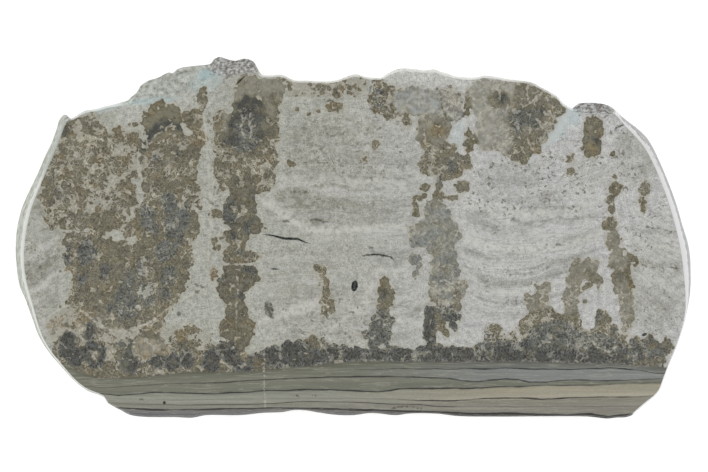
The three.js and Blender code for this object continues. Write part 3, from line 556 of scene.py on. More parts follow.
# Where the mud is laid in thin laminae, flecked with dark specks or clouded: ovals by middle, half sizes
# and turn, with the strength last, as in the other tables of places below
LAMINATED: Rows = (
    (-13, 12, 17, 10, 0, 1.0), (0, 26, 24, 12, 0, 0.7), (62, -6, 26, 24, 0, 1.0), (108, -4, 11, 20, 0, 0.9),
    (14, 4, 12, 16, 0, 0.7), (-18, -14, 16, 22, 0, 0.6), (12, -28, 18, 10, 0, 0.8),
    (66, 20, 22, 14, 0, 0.5), (-111, -14, 7, 16, 0, 0.9),
)
SPECKLED: Rows = (
    (66, 22, 22, 15, 0, 1.0), (90, 25, 12, 18, 0, 0.8), (104, 5, 9, 22, 0, 0.5), (0, 32, 26, 18, 0, 0.45),
    (-60, 52, 14, 6, 0, 0.4), (-114, -6, 6, 12, 0, 0.7), (-85, 14, 9, 10, 0, 0.8), (50, 12, 10, 12, 0, 0.6),
    (60, -15, 18, 12, 0, 0.35), (-10, -28, 20, 10, 0, 0.5), (106, -26, 9, 9, 0, 0.6),
    (-50, 28, 4, 26, 0, 0.6),
)
CLOUDED: Rows = (
    (-110.5, 10.5, 3, 3.4, 0, 0.7), (-113, -4, 4, 1.6, 0, 0.5), (-112, -11, 5, 6, 0, 0.6),
    (70, 14.5, 5, 3, 10, 0.7), (62.5, 12, 3.4, 2.4, 0, 0.6), (-14, 12, 13, 1.7, 0, 0.9),
    (-19, 16, 4, 1, 0, 0.9), (8, 6, 4.6, 1.6, 0, 0.5), (12.5, 9.5, 2.2, 0.9, 0, 0.5),
    (66, 5.2, 10, 0.9, 8, 0.7), (45, 8, 4, 1, -8, 0.6), (114.6, -10.5, 1.6, 2.6, 0, 0.8),
    (96, 33, 4, 4, 0, 0.6), (104, 25, 3, 4, 0, 0.5), (-92, 44, 3, 1, 0, 0.8), (5, 18.5, 4, 1, 0, 0.5),
    (20, 26, 3, 6, 0, 0.3), (48, -18, 9, 1.1, -18, 0.6), (-108, -20, 4, 5, 0, 0.4), (-105, 0, 3, 5, 0, 0.3),
    (-80, 30, 8, 10, 0, 0.4), (52, 20, 6, 5, 0, 0.35), (-12, 36, 11, 5, 0, 0.55), (-10, 28, 10, 5, 0, 0.45),
    (4, 34, 8, 8, 0, 0.35), (106, -26, 7, 8, 0, 0.45), (100, 34, 5, 6, 0, 0.3), (56, 22, 10, 5, 0, 0.4),
    (-24, -18, 5, 6, 0, 0.3), (-112, 12, 3, 5, 0, 0.4), (-90, 42, 6, 2, 0, 0.4),
)
# Streaks along the laminae, dark ones and then pale ones: strength, width and corners
STREAKS: Strokes = (
    (0.7, 1.6, (-117, -4.6, -112, -2.4, -108, -0.6)),
    (1.0, 4.2, (-116, -14, -110.5, -10, -105, -6)),
    (0.6, 1.4, (-115.5, -21, -109, -17.6, -104.5, -15)),
    (0.6, 2.0, (-114, 9, -112.4, 12, -112, 15)),
    (1.0, 1.5, (55.9, 7.2, 62.2, 5.6, 69.5, 5.9, 77.9, 6.3, 84.2, 7.7, 88.9, 9.8)),
    (0.5, 4.5, (42, 6, 48.5, 3.5, 55, 1.6, 61, 1.8)),
    (0.7, 1.0, (38, -7.5, 44.3, -13.8, 51.7, -17, 61.1, -16.5, 69.5, -13.8, 76.9, -11.7)),
    (0.6, 0.9, (44.3, -21.2, 51.7, -23.3, 59, -23.3)),
    (0.5, 1.2, (38, -3.3, 48.5, -7.5, 59, -9.1, 72.7, -7.5, 80, -6.5)),
    (0.5, 4.0, (46, 17, 51.7, 14.6, 59, 13, 65.3, 13, 74, 15.6)),
    (0.8, 0.9, (96.8, 4, 103.1, 2.4, 113.6, 2.4)),
    (0.8, 1.4, (100, -7.5, 107, -9.8, 115.7, -9.1)),
    (0.5, 0.8, (101, -18, 109.4, -18.6)),
    (0.8, 0.9, (-24.8, 17.1, -13.1, 18.2, -0.4, 17.6, 10.3, 17.1)),
    (0.8, 3.4, (-25.9, 15, -17.4, 14.8, -9.9, 12.6, -0.4, 10.7, 8.3, 9.7)),
    (0.9, 1.0, (-15.2, 6.2, -12, 6.2, -8.9, 5.4)),
    (0.7, 1.2, (14.5, -24.3, 19, -24.6, 23, -24.9)),
    (0.5, 1.0, (-28, -14, -20, -13, -13, -13.5)),
    (0.5, 1.0, (-22, -4, -12, -5, -2, -4)),
    (0.45, 1.6, (-24, 24, -10, 23, 4, 24, 16, 22)),
    (0.7, 1.0, (-24, 25.8, -16, 26.6, -6, 26.4, 2, 25.6)),
    (0.6, 3.0, (-22, 30, -14, 32.5, -4, 33, 4, 31)),
    (0.55, 2.6, (-18, 40, -8, 41.5, 2, 41)),
    (0.6, 1.6, (-2, -25.5, 5, -25, 8, -24.6)),
    (0.5, 1.0, (-22, -33, -12, -34, -4, -33)),
)
FLOWS: Strokes = (
    (0.9, 2.4, (-31.2, 12.9, -25.9, 8.6, -17.4, 3.3, -2.5, 2.2, 18.8, 4.4)),
    (0.8, 2.0, (-33.3, -29.6, -23.7, -27.5, -15.2, -23.8, -11.9, -22.2)),
    (0.7, 1.6, (-6.9, -31.6, 0, -27, 5, -22, 8.5, -12, 22, -9)),
    (0.8, 2.0, (14, -29, 22, -30, 30, -38)),
    (0.8, 1.8, (40, 12, 52, 9.6, 64, 8.8, 76, 9.6, 88, 13)),
    (0.9, 2.2, (40, -1, 52, -3.6, 66, -4.2, 80, -1.6, 90, 2.4)),
    (0.8, 1.8, (39, -11, 47, -18.5, 57, -19.6, 66, -16)),
    (0.7, 1.2, (99, -1, 107, -3.4, 116, -3.6)),
    (0.7, 1.4, (100, -14, 108, -15, 117, -15)),
    (0.6, 1.6, (-28, 21, -14, 21, 2, 20.4, 18, 19)),
    (0.6, 1.6, (-116, -8, -110, -3, -104, 0)),
    (0.7, 1.6, (-115, -20, -109, -16, -103, -12)),
)
# Where the mud is paler, and where it is warmer than the rest of the right side
BLEACHED: Rows = (
    (24, 57.4, 15, 2.6, 0, 1.0), (41, 55, 7, 3.4, 0, 0.8), (-56, 50, 8, 4, 0, 0.3), (-66, 44, 3, 4, 0, 0.4),
    (50, -10, 22, 8, 0, 0.25), (-78, 44, 5, 4, 0, 0.3),
)
WARM_MUD: Rows = ((107, -16, 11, 18, 0, 0.55), (100, 28, 8, 10, 0, 0.45), (84, 22, 8, 6, 0, 0.3))
# Where the broken top is knobbly, where the right rim is worn, and the places stained by a blue mineral
KNOBBLY: Rows = ((-42, 60.5, 10, 5, 0, 1.0), (85.5, 45.6, 9, 4, 0, 1.0), (-93, 44.5, 3, 1.2, 0, 0.8))
WORN: Rows = ((102, 37, 7, 9, 0, 1.0), (98, 42, 6, 4, 0, 0.8), (107, 29, 5, 5, 0, 0.5))
STAINED: Rows = (
    (-71, 48.4, 9, 1.1, 6, 0.7), (-88, 45.6, 8, 1.0, 12, 0.5), (-107.5, 30, 1.6, 9, -14, 0.5),
    (-52, 57.6, 2.4, 1.9, 0, 1.0), (-52, 55, 6, 3.4, 20, 0.45), (77.4, 43, 3.2, 3.6, 0, 0.55),
    (72.6, 38, 3, 4.6, -40, 0.4), (37, 37.5, 2.6, 8, 0, 0.35), (97.6, 41, 2.6, 1.6, -35, 0.3),
)
# A pale blue vein through the right-hand crown
VEIN = Stroke((77, 46, 75, 42, 73, 38, 70, 35, 67, 32, 64, 29, 62, 27), 2.2)

# The beds below the grown rock, from the top down: the height of each line along the slab, and how dark
# the line is drawn along it.
BED_LINES: tuple[Rows, ...] = (
    ((-105, -44, -98, -47, -90, -50, -80, -50, -65, -48.5, -60, -47.7, -40, -47.7, -20, -46, 0, -44,
        58, -44, 75, -44.5, 95, -45, 108, -46), (-105, 0, 108, 0)),
    ((-105, -47.5, -90, -51, -65, -50, -40, -49, -20, -47.7, 0, -46.7, 10, -46.5, 58, -46.3, 78, -46.7,
        84, -46.2, 90, -45.9, 96, -46.2, 102, -47, 106, -48), (-105, 0, -10, 0, 10, 0.5, 50, 0.8,
        106, 0.8)),
    ((-105, -52, -88, -53.2, -75, -52.2, -65, -51.6, -50, -51.4, -37, -50.6, -30, -50.2, -12, -49.4,
        0, -49, 14, -49, 24.5, -49.4, 34, -50, 38, -50.5, 44, -50.9, 54, -50, 58, -50.4, 62, -51.2,
        68, -51.2, 78, -50.4, 90, -50.9, 100, -50.4, 110, -49.8), (-105, 0.4, -70, 0.5, -40, 0.8,
        110, 0.8)),
    ((-105, -55, -90, -55.2, -83, -56, -70, -54.7, -50, -55.3, -40, -54.8, -30, -54.2, -8, -53.8,
        0, -54.4, 8, -54.7, 13, -54.2, 16, -53.4, 36, -53.5, 58, -52.6, 80, -52, 90, -51.6, 110, -51.2),
        (-105, 0.6, -80, 0.9, 30, 0.9, 80, 0.5, 110, 0.4)),
    ((-90, -56.6, -60, -57.5, -30, -56.8, 0, -57, 14, -57.2, 25, -57.8, 36, -57.8, 50, -57, 70, -57,
        80, -56.7, 96, -56.6, 107, -55.8), (-90, 0.2, 15, 0.2, 25, 1, 36, 1, 42, 0.5, 50, 0.9, 58, 0.8,
        62, 1.2, 70, 1.2, 80, 0.6, 96, 0.6, 107, 0.4)),
    ((-95, -58, -80, -58.8, -57, -59.3, -40, -59.1, -30, -58.8, -18, -57.9, 0, -58.2, 14, -58.8,
        24, -59, 30, -59.8, 60, -60, 107, -59.5), (-95, 0.2, -60, 0.5, -50, 0.9, 30, 0.9, 40, 0.3,
        107, 0.3)),
    ((-95, -60, -82, -60.2, -62, -60.9, -50, -60.5, -30, -60.1, 2, -60.5, 15, -61.4, 28, -61.5, 40, -62,
        58, -62.2, 75, -62.7, 84, -62.3, 90, -63.3, 105, -62), (-95, 0.8, 10, 0.8, 28, 1.2,
        105, 1.2)),
    ((-110, -67, 110, -67), (-110, 0, 110, 0)),
)


@dataclass(frozen=True)
class Hollow:
    """A natural pit in the polished face: its edge, its depth in the middle and how strong the shade
    painted in it is.
    """

    oval: Oval
    depth: float
    ink: float = 1.0

    def sunk(self, x: np.ndarray, y: np.ndarray, margin: float = 0.0) -> np.ndarray:
        """Return how far below the face each point lies.

        Args:
            x: The points' x.
            y: The points' y.
            margin: Widens the pit all round.

        Returns:
            Millimetres, zero outside the pit.
        """
        wide = replace(self.oval, half_x=self.oval.half_x + margin, half_y=self.oval.half_y + margin)
        share = np.clip(wide.depth(x, y) / min(wide.half_x, wide.half_y), 0, 1)
        return self.depth * np.sqrt(1 - (1 - share) ** 2)


@dataclass(frozen=True)
class Crack:
    """An open crack, widest in its middle and closed at both ends.

    Args:
        points: Its corners as x, y, x, y and so on.
        width: Its width in the middle.
        depth: Its depth in the middle.
        ink: How strong the shade painted in it is.
        closing: The share of its length over which each end closes.
        least: The least half width, for its very ends.
    """

    points: Row
    width: float
    depth: float
    ink: float = 1.0
    closing: float = 0.4
    least: float = 0.02

    def sunk(self, x: np.ndarray, y: np.ndarray, margin: float = 0.0) -> np.ndarray:
        """Return how far below the face each point lies.

        Args:
            x: The points' x.
            y: The points' y.
            margin: Widens the crack on both sides.

        Returns:
            Millimetres, zero outside the crack.
        """
        line = pairs(self.points)
        to_start = np.hypot(x - line[0, 0], y - line[0, 1])
        to_end = np.hypot(x - line[-1, 0], y - line[-1, 1])
        length = float(np.hypot(*np.diff(line, axis=0).T).sum())
        open_share = np.sqrt(np.clip(np.minimum(to_start, to_end) / (length * self.closing), 0, 1))
        half = np.maximum((self.width / 2 + margin) * open_share, self.least)
        return self.depth * open_share * np.clip(1 - distance_to_line(x, y, line) / half, 0, 1)


HOLLOWS = (
    Hollow(Oval(0.5, -17.1, 1.1, 1.9, -10), 1.6),
    Hollow(Oval(-29.8, -25.2, 1.5, 3.0, 8), 1.3, 0.12),
    Hollow(Oval(-66.8, -58.4, 0.5, 0.5), 0.7),
    Hollow(Oval(103.0, -34.3, 1.0, 0.5, 20), 0.6),
)
CRACKS = (
    Crack((-32.3, 1.1, -28.7, 0.8, -24.5, -0.3, -19.5, -0.5, -16.9, -1.7, -14.7, -2.3), 1.0, 0.9),
    Crack((2.1, -6.5, 8.1, -5.9, 13.3, -6.8, 15.6, -9.5), 0.6, 0.5),
    Crack((-29.6, -11.1, -26.0, -11.1), 0.7, 0.5),
    Crack((-41.8, 53.8, -40.2, 55.4, -38.0, 57.4), 0.8, 1.0, 0.25),
    Crack((92.6, 38.7, 95.6, 39.9, 98.0, 40.6), 0.7, 0.8, 0.3),
)


class Grain:
    """Even random relief in space, the same each time it is made from one seed."""

    def __init__(self, seed: int) -> None:
        """Draw the directions of the relief's slopes.

        Args:
            seed: The seed.
        """
        source = np.random.default_rng(seed)
        self.order = np.tile(source.permutation(256), 2)
        slopes = source.normal(size=(256, 3))
        self.slopes = slopes / np.linalg.norm(slopes, axis=1, keepdims=True)

    def at(self, points: np.ndarray, size: float) -> np.ndarray:
        """Return the relief at points.

        Args:
            points: One point per row.
            size: The spacing of its bumps, in the points' unit.

        Returns:
            Values around zero, within about one to each side.
        """
        spot = points / size
        cell = np.floor(spot).astype(int)
        part = spot - cell
        ease = part**3 * (part * (part * 6 - 15) + 10)
        total = np.zeros(len(points))
        for corner in np.ndindex(2, 2, 2):
            offset = np.array(corner)
            place = (cell + offset) & 255
            index = self.order[self.order[self.order[place[:, 0]] + place[:, 1]] + place[:, 2]]
            weight = np.prod(np.where(offset == 1, ease, 1 - ease), axis=1)
            total += weight * np.einsum("ij,ij->i", self.slopes[index], part - offset)
        return total * 1.5

    def bumps(self, points: np.ndarray, size: float, height: float) -> np.ndarray:
        """Return bumps of a size, from zero up to about a height, at points."""
        return (0.5 + 0.5 * self.at(points, size)) * height


class Finish(Enum):
    """How the stone ends around the slab."""

    GROUND_LEFT = "ground_left"
    BROKEN = "broken"
    GROUND_RIGHT = "ground_right"
    BEDDED = "bedded"


@dataclass(frozen=True)
class EdgeProfile:
    """The section through one kind of edge.

    Args:
        rim: Shares of the rim's width crossed from the face outwards, with shares of its drop.
        wall: Insets from the outline, with the share of the height left down to the back.
        lumps: How much of the broken relief it carries.
    """

    rim: Rows
    wall: Rows
    lumps: float


GROUND_WALL: Rows = ((0.02, 0.2), (0.06, 0.4), (0.14, 0.6), (0.3, 0.8), (0.6, 1))
PROFILES = {
    Finish.GROUND_LEFT: EdgeProfile(
        ((0, 0), (0.14, 0.012), (0.29, 0.05), (0.43, 0.14), (0.55, 0.33), (0.78, 0.67), (1, 1)),
        GROUND_WALL,
        0,
    ),
    Finish.GROUND_RIGHT: EdgeProfile(
        ((0, 0), (0.22, 0.02), (0.44, 0.07), (0.64, 0.17), (0.8, 0.36), (0.92, 0.68), (1, 1)),
        GROUND_WALL,
        0,
    ),
    Finish.BROKEN: EdgeProfile(
        ((0, 0), (0.16, 0.08), (0.36, 0.22), (0.56, 0.4), (0.74, 0.6), (0.9, 0.82), (1, 1)),
        ((0, 0.18), (0.2, 0.36), (0.5, 0.56), (1, 0.78), (2, 1)),
        1,
    ),
    Finish.BEDDED: EdgeProfile(
        ((0, 0), (0.2, 0.05), (0.4, 0.16), (0.6, 0.34), (0.78, 0.56), (0.92, 0.8), (1, 1)),
        ((0.1, 0.2), (0.2, 0.4), (0, 0.6), (0.2, 0.8), (0.7, 1)),
        0.22,
    ),
}
FINISH_OF_ROW = (
    [Finish.GROUND_LEFT] * len(LEFT_END)
    + [Finish.BROKEN] * len(GROWTH_TOP)
    + [Finish.GROUND_RIGHT] * len(RIGHT_END)
    + [Finish.BEDDED] * len(BEDDED_FOOT)
)


def lattice(step: float, low: Row, high: Row) -> np.ndarray:
    """Lay out points in even triangles.

    Args:
        step: The spacing.
        low: The lowest x and y.
        high: The highest x and y.

    Returns:
        One point per row.
    """
    tall = step * math.sqrt(3) / 2
    rows = np.arange(math.floor(low[1] / tall), math.ceil(high[1] / tall))
    columns = np.arange(math.floor(low[0] / step) - 1, math.ceil(high[0] / step) + 1)
    row, column = np.meshgrid(rows, columns, indexing="ij")
    return np.stack([((column + 0.5 * (row % 2)) * step).ravel(), (row * tall).ravel()], axis=1)


@dataclass(frozen=True)
class RingSet:
    """The rings around the slab.

    Args:
        corners: The corners by ring and station.
        shares: Each station's share of each finish.
        across: How far each ring has come across its rim, by ring and station.
        width: Each station's rim width.
    """

    corners: np.ndarray
    shares: np.ndarray
    across: np.ndarray
    width: np.ndarray

    def share(self, finish: Finish) -> np.ndarray:
        """Return each station's share of one finish."""
        return self.shares[:, list(Finish).index(finish)]


@dataclass(frozen=True)
class SlabShape:
    """The slab's surface as rings around it, closed by the face and the back.

    Args:
        stations: Corners in each ring.
        rim_rings: Rings from the face's edge to the outline.
        wall_rings: Rings from the outline to the back.
        face_step: Spacing of corners on the face.
        fine_step: Spacing where there are small marks.
        back_step: Spacing on the back.
        clearance: Least gap between corners inside a flat and its edge.
        sharp_angle: Edges that turn by more degrees than this are sharp.
        curve_steps: Points laid along the curve between two rows of the outline.
        broad_rim: Rim width from which the relief of a broken rim grows no more.
        rim_bumps: Size and height of each kind of bump on a broken rim one millimetre wide.
        wall_bumps: Size and height of each kind of bump on a broken wall.
        wall_grit: Size and height of the grit on a broken wall.
    """

    stations: int = 900
    rim_rings: int = 13
    wall_rings: int = 10
    face_step: float = 0.84
    fine_step: float = 0.42
    back_step: float = 4.0
    clearance: float = 0.34
    sharp_angle: float = 38.0
    curve_steps: int = 40
    broad_rim: float = 4.0
    rim_bumps: Rows = ((3.0, 0.3), (1.1, 0.14))
    wall_bumps: Rows = ((7.0, 2.2), (3.0, 0.9))
    wall_grit: Row = (1.3, 0.35)

    def outline(self) -> tuple[np.ndarray, np.ndarray, np.ndarray]:
        """Space the stations evenly along the closed curve through the outline's rows.

        Returns:
            The points with their rim width and drop, counterclockwise, and the rows they lie between.
        """
        rows = np.array(LEFT_END + GROWTH_TOP + RIGHT_END + BEDDED_FOOT, float)
        count = len(rows)
        share = np.arange(self.curve_steps)[:, None] / self.curve_steps
        samples = []
        places = []
        for i in range(count):
            p = [rows[(i + k) % count, :2] for k in (-1, 0, 1, 2)]
            g = [max(float(np.linalg.norm(b - a)) ** 0.5, 1e-4) for a, b in zip(p, p[1:])]
            start = ((p[1] - p[0]) / g[0] - (p[2] - p[0]) / (g[0] + g[1]) + (p[2] - p[1]) / g[1]) * g[1]
            end = ((p[2] - p[1]) / g[1] - (p[3] - p[1]) / (g[1] + g[2]) + (p[3] - p[2]) / g[2]) * g[1]
            cubic = (
                p[1]
                + start * share
                + (-3 * p[1] + 3 * p[2] - 2 * start - end) * share**2
                + (2 * p[1] - 2 * p[2] + start + end) * share**3
            )
            samples.append(cubic)
            places.append(i + share[:, 0])
        path = np.concatenate(samples + [samples[0][:1]])
        place = np.concatenate(places + [np.array([float(count)])])
        run = np.concatenate([[0.0], np.cumsum(np.hypot(*np.diff(path, axis=0).T))])
        want = np.linspace(0, run[-1], self.stations, endpoint=False)
        at = np.interp(want, run, place)
        low = np.floor(at).astype(int) % count
        share = at - np.floor(at)
        high = (low + 1) % count
        sizes = rows[low, 2:] * (1 - share[:, None]) + rows[high, 2:] * share[:, None]
        points = np.stack([np.interp(want, run, path[:, 0]), np.interp(want, run, path[:, 1])], axis=1)
        return points[::-1], sizes[::-1], np.stack([low, high, share], axis=1)[::-1]

    def rings(self, grain: Grain) -> RingSet:
        """Build the rings from the face's edge over the rim and down the wall.

        Args:
            grain: The relief of broken rock.

        Returns:
            The rings.
        """
        points, sizes, places = self.outline()
        width = sizes[:, 0]
        drop = sizes[:, 1]
        shares = np.zeros((self.stations, len(Finish)))
        kinds = list(Finish)
        for i, (low, high, share) in enumerate(places):
            shares[i, kinds.index(FINISH_OF_ROW[int(low)])] += 1 - share
            shares[i, kinds.index(FINISH_OF_ROW[int(high)])] += share
        aside = max(1, round(self.stations / 75))
        run = np.roll(points, -aside, axis=0) - np.roll(points, aside, axis=0)
        run /= np.linalg.norm(run, axis=1, keepdims=True)
        inward = np.stack([-run[:, 1], run[:, 0]], axis=1)
        edge = points + inward * width[:, None]
        pull = 0.5 * np.minimum(1, width / 4)[:, None] ** 2
        for _ in range(round(6 * (self.stations / 300) ** 2)):
            edge += (0.5 * (np.roll(edge, 1, axis=0) + np.roll(edge, -1, axis=0)) - edge) * pull
        lumps = np.array([PROFILES[kind].lumps for kind in kinds]) @ shares.T
        broken = shares[:, kinds.index(Finish.BROKEN)]
        bulk = np.minimum(width, self.broad_rim)
        rings = []
        across_all = []
        for r in range(self.rim_rings):
            at = (len(PROFILES[Finish.BROKEN].rim) - 1) * r / (self.rim_rings - 1)
            across = self.blend(shares, at, 0, "rim")
            down = self.blend(shares, at, 1, "rim")
            flat = edge + (points - edge) * across[:, None]
            low = np.column_stack([flat, np.zeros(self.stations)])
            chips = sum(grain.bumps(low, *bump) for bump in self.rim_bumps) * bulk
            low[:, 2] = THICKNESS - down * drop - np.sin(math.pi * across) * lumps * chips
            rings.append(low)
            across_all.append(across)
        for w in range(1, self.wall_rings + 1):
            at = len(PROFILES[Finish.BROKEN].wall) * w / self.wall_rings
            inset = self.blend(shares, at, 0, "wall")
            down = self.blend(shares, at, 1, "wall")
            low = np.column_stack([points + inward * inset[:, None], (THICKNESS - drop) * (1 - down)])
            moved = sum(grain.bumps(low, *bump) for bump in self.wall_bumps) * lumps
            moved += grain.bumps(low, *self.wall_grit) * broken
            low[:, :2] += inward * moved[:, None]
            rings.append(low)
            across_all.append(np.ones(self.stations))
        return RingSet(np.array(rings), shares, np.array(across_all), width)

    @staticmethod
    def blend(shares: np.ndarray, at: float, column: int, part: str) -> np.ndarray:
        """Blend one number of the edge profiles that meet at each station.

        Args:
            shares: Each station's share of each finish.
            at: The place along the profile's rows.
            column: Which number of a row.
            part: "rim" or "wall".

        Returns:
            One number per station.
        """
        values = []
        for kind in Finish:
            rows = getattr(PROFILES[kind], part)
            numbers = [row[column] for row in rows]
            if part == "wall":
                numbers = [0.0] + numbers
            values.append(np.interp(at, np.arange(len(numbers)), numbers))
        return shares @ np.array(values)

    def fill(self, loop: np.ndarray, inner: np.ndarray) -> tuple[np.ndarray, np.ndarray]:
        """Triangulate a flat between its edge and the corners inside it.

        Args:
            loop: The edge's corners.
            inner: The corners that may lie inside.

        Returns:
            The corners kept inside, and triangles over the edge's corners followed by them.
        """
        inside = inside_loop(inner[:, 0], inner[:, 1], loop)
        inner = inner[inside]
        gap = distance_to_line(inner[:, 0], inner[:, 1], np.vstack([loop, loop[:1]]))
        inner = inner[gap > self.clearance]
        everything = np.vstack([loop, inner])
        count = len(loop)
        edges = [(i, (i + 1) % count) for i in range(count)]
        flat = [Vector((float(x), float(y))) for x, y in everything]
        out = delaunay_2d_cdt(flat, edges, [], 1, 1e-7)
        source = np.array([origin[0] for origin in out[3]])
        faces = source[np.array(out[2])]
        kept = everything[faces]
        area = np.cross(kept[:, 1] - kept[:, 0], kept[:, 2] - kept[:, 0])
        return inner, faces[np.abs(area) > 1e-7]


class Fields:
    """What the rock is like at each corner of the slab."""

    def __init__(self, x: np.ndarray, y: np.ndarray) -> None:
        """Start from plain pale rock.

        Args:
            x: The corners' x in the rock, in millimetres.
            y: The corners' y in the rock.
        """
        self.x = x
        self.y = y
        flat = np.column_stack([x, y, np.zeros(len(x))])
        bends = Grain(23)
        self.bent_x = x + 1.5 * bends.at(flat, 5.5) + 0.8 * bends.at(flat + 40, 2.4)
        self.bent_y = y + 1.5 * bends.at(flat + 80, 5.5) + 0.8 * bends.at(flat + 120, 2.4)
        self.growth = np.full(x.shape, -3.0)
        self.pack = np.full(x.shape, Fill.SPARSE.value)
        self.tone = np.tile(np.array(Tone.BROWN.value), (len(x), 1))
        self.dark_line = np.full(x.shape, -1.0)
        self.pale_line = np.full(x.shape, -1.0)

    def near(self, shape: Shape, margin: float) -> np.ndarray:
        """Find the corners within a margin of a shape's window.

        Args:
            shape: The shape.
            margin: How far around its window they may lie.

        Returns:
            Their indices.
        """
        low_x, high_x, low_y, high_y = shape.window()
        in_x = (self.x > low_x - margin) & (self.x < high_x + margin)
        return np.flatnonzero(in_x & (self.y > low_y - margin) & (self.y < high_y + margin))

    def lay(self, shape: Shape, tone: Tone, fill: Fill, bonus: float = 0.0) -> None:
        """Lay a patch of grown rock over what is there.

        Args:
            shape: Where.
            tone: Its colour.
            fill: How closely packed it is.
            bonus: How much further it reaches than its shape.
        """
        at = self.near(shape, 4.0)
        if isinstance(shape, Region):
            depth = shape.depth(self.bent_x[at], self.bent_y[at])
        else:
            depth = shape.depth(self.x[at], self.y[at]) + bonus
        cover = smoothstep(-1.2, 0.2, depth)
        self.growth[at] = np.maximum(self.growth[at], depth)
        self.pack[at] += (np.maximum(self.pack[at], fill.value) - self.pack[at]) * cover
        self.tone[at] += (np.array(tone.value) - self.tone[at]) * cover[:, None]

    def tint(self, shape: Shape, tone: Tone) -> None:
        """Change the tone of grown rock without adding to it.

        Args:
            shape: Where.
            tone: The colour to change it to.
        """
        at = self.near(shape, 3.5)
        depth = shape.depth(self.bent_x[at], self.bent_y[at])
        cover = smoothstep(-0.9, 1.2, depth)
        self.tone[at] += (np.array(tone.value) - self.tone[at]) * cover[:, None]

    def paint(self) -> None:
        """Lay down every mass, clot, core and arch."""
        for tone, fill, points in MASSES:
            self.lay(Region(points), tone, fill)
        for tone, rows in CLOTS:
            for row in rows:
                self.lay(Oval(*row), tone, Fill.SOLID, CLOT_BONUS)
        for tone, rows in CORES:
            for row in rows:
                self.tint(Oval(*row), tone)
        for tone, width, points in ARCHES:
            self.tint(Stroke(points, width), tone)

    def rule(self) -> None:
        """Draw every line and dot."""
        for width, points in DARK_LINES:
            self.draw(self.dark_line, Stroke(points, width))
        for row in DOTS:
            self.draw(self.dark_line, Oval(*row))
        for width, points in PALE_LINES:
            self.draw(self.pale_line, Stroke(points, width))

    def draw(self, line: np.ndarray, shape: Shape) -> None:
        """Add a shape to a set of lines, as the depth inside it."""
        at = self.near(shape, 1.5)
        line[at] = np.maximum(line[at], shape.depth(self.x[at], self.y[at]))

    def cover(self, rows: Rows) -> np.ndarray:
        """Return the strongest of several soft ovals.

        Args:
            rows: Each oval's middle, half sizes and turn, with its strength last.

        Returns:
            One strength per corner.
        """
        total = np.zeros(self.x.shape)
        for row in rows:
            oval = Oval(*row[:5])
            share = oval.depth(self.x, self.y) / min(oval.half_x, oval.half_y)
            total = np.maximum(total, row[5] * smoothstep(-0.35, 0.35, share))
        return total

    def streaks(self, rows: Strokes) -> np.ndarray:
        """Return the strongest of several soft strokes.

        Args:
            rows: Each stroke's strength, width and corners.

        Returns:
            One strength per corner.
        """
        total = np.zeros(self.x.shape)
        for strength, width, points in rows:
            stroke = Stroke(points, width)
            at = self.near(stroke, 2.5)
            depth = stroke.depth(self.bent_x[at], self.bent_y[at])
            total[at] = np.maximum(total[at], strength * smoothstep(-0.5 * width, 0.5 * width, depth))
        return total

    def beds(self) -> tuple[np.ndarray, np.ndarray]:
        """Count down through the beds below the grown rock.

        Returns:
            How many bed lines each corner is below, with shares between them, and how dark the
            lines are drawn there.
        """
        tops = []
        inks = []
        for heights, ink in BED_LINES:
            tops.append(np.interp(self.x, *pairs(heights).T))
            inks.append(np.interp(self.x, *pairs(ink).T))
        count = np.zeros(self.x.shape)
        drawn = inks[0].copy()
        for k in range(len(tops) - 1):
            share = (tops[k] - self.y) / np.maximum(tops[k] - tops[k + 1], 0.3)
            at = share > 0
            count[at] = k + np.minimum(share[at], 1)
            near_low = np.clip((share - 0.42) / 0.16, 0, 1)
            drawn[at] = (inks[k] + (inks[k + 1] - inks[k]) * near_low)[at]
        above = self.y > tops[0]
        count[above] = np.maximum(tops[0] - self.y, -3)[above] / 3
        return count, drawn

    def laminae(self) -> np.ndarray:
        """Count the laminae below each corner, following their sag between the columns.

        Returns:
            How many, with shares.
        """
        low = 62 - 6 * smoothstep(6, -14, self.y)
        sag = 5.5 + 4 * smoothstep(4, -16, self.y)
        basin = np.clip((self.x - low) / 27, -1.3, 1.3) ** 2 * sag * smoothstep(20, 40, self.x)
        margin = -0.18 * np.clip(self.x - 96, 0, 30) + 0.7 * np.clip(self.x + 104, -20, 0)
        wave = 0.5 * np.sin(self.x * 0.16) + 0.3 * np.sin(self.x * 0.41 + 1)
        return (self.y - basin * (1 - smoothstep(88, 120, self.x)) - margin + wave) / LAMINA

    def small_marks(self) -> np.ndarray:
        """Find the corners beside small marks, which need a finer mesh.

        Returns:
            True for each of them.
        """
        small = 1.3
        beside = 0.6
        marked = np.maximum(self.dark_line, self.pale_line) > -0.5
        for _, rows in CLOTS:
            for row in rows:
                oval = Oval(*row)
                if min(oval.half_x, oval.half_y) < small:
                    at = self.near(oval, beside)
                    marked[at] |= oval.depth(self.x[at], self.y[at]) > -beside
        return marked


@dataclass(frozen=True)
class Sheet:
    """Where the surface lies on its flat map, in shares of the map's side.

    Args:
        half_length: Half the length that the map takes in, in millimetres.
        low_y: The lowest y that it takes in.
        breadth: How far up from there it reaches.
        margin: The room left at the left and below.
        wide: The width of the face and of each strip of the wall.
        face_low: The lower edge of the face.
        face_tall: Its height.
        back_wide: The width of the back.
        back_tall: Its height.
        strips: How many strips the wall is cut into.
        strip_low: The lower edge of the lowest strip.
        strip_step: The step from one strip to the next.
        strip_tall: The height of a strip.
    """

    half_length: float = 121.0
    low_y: float = -65.0
    breadth: float = 131.0
    margin: float = 0.01
    wide: float = 0.98
    face_low: float = 0.455
    face_tall: float = 0.53
    back_wide: float = 0.6
    back_tall: float = 0.325
    strips: int = 3
    strip_low: float = 0.345
    strip_step: float = 0.036
    strip_tall: float = 0.03


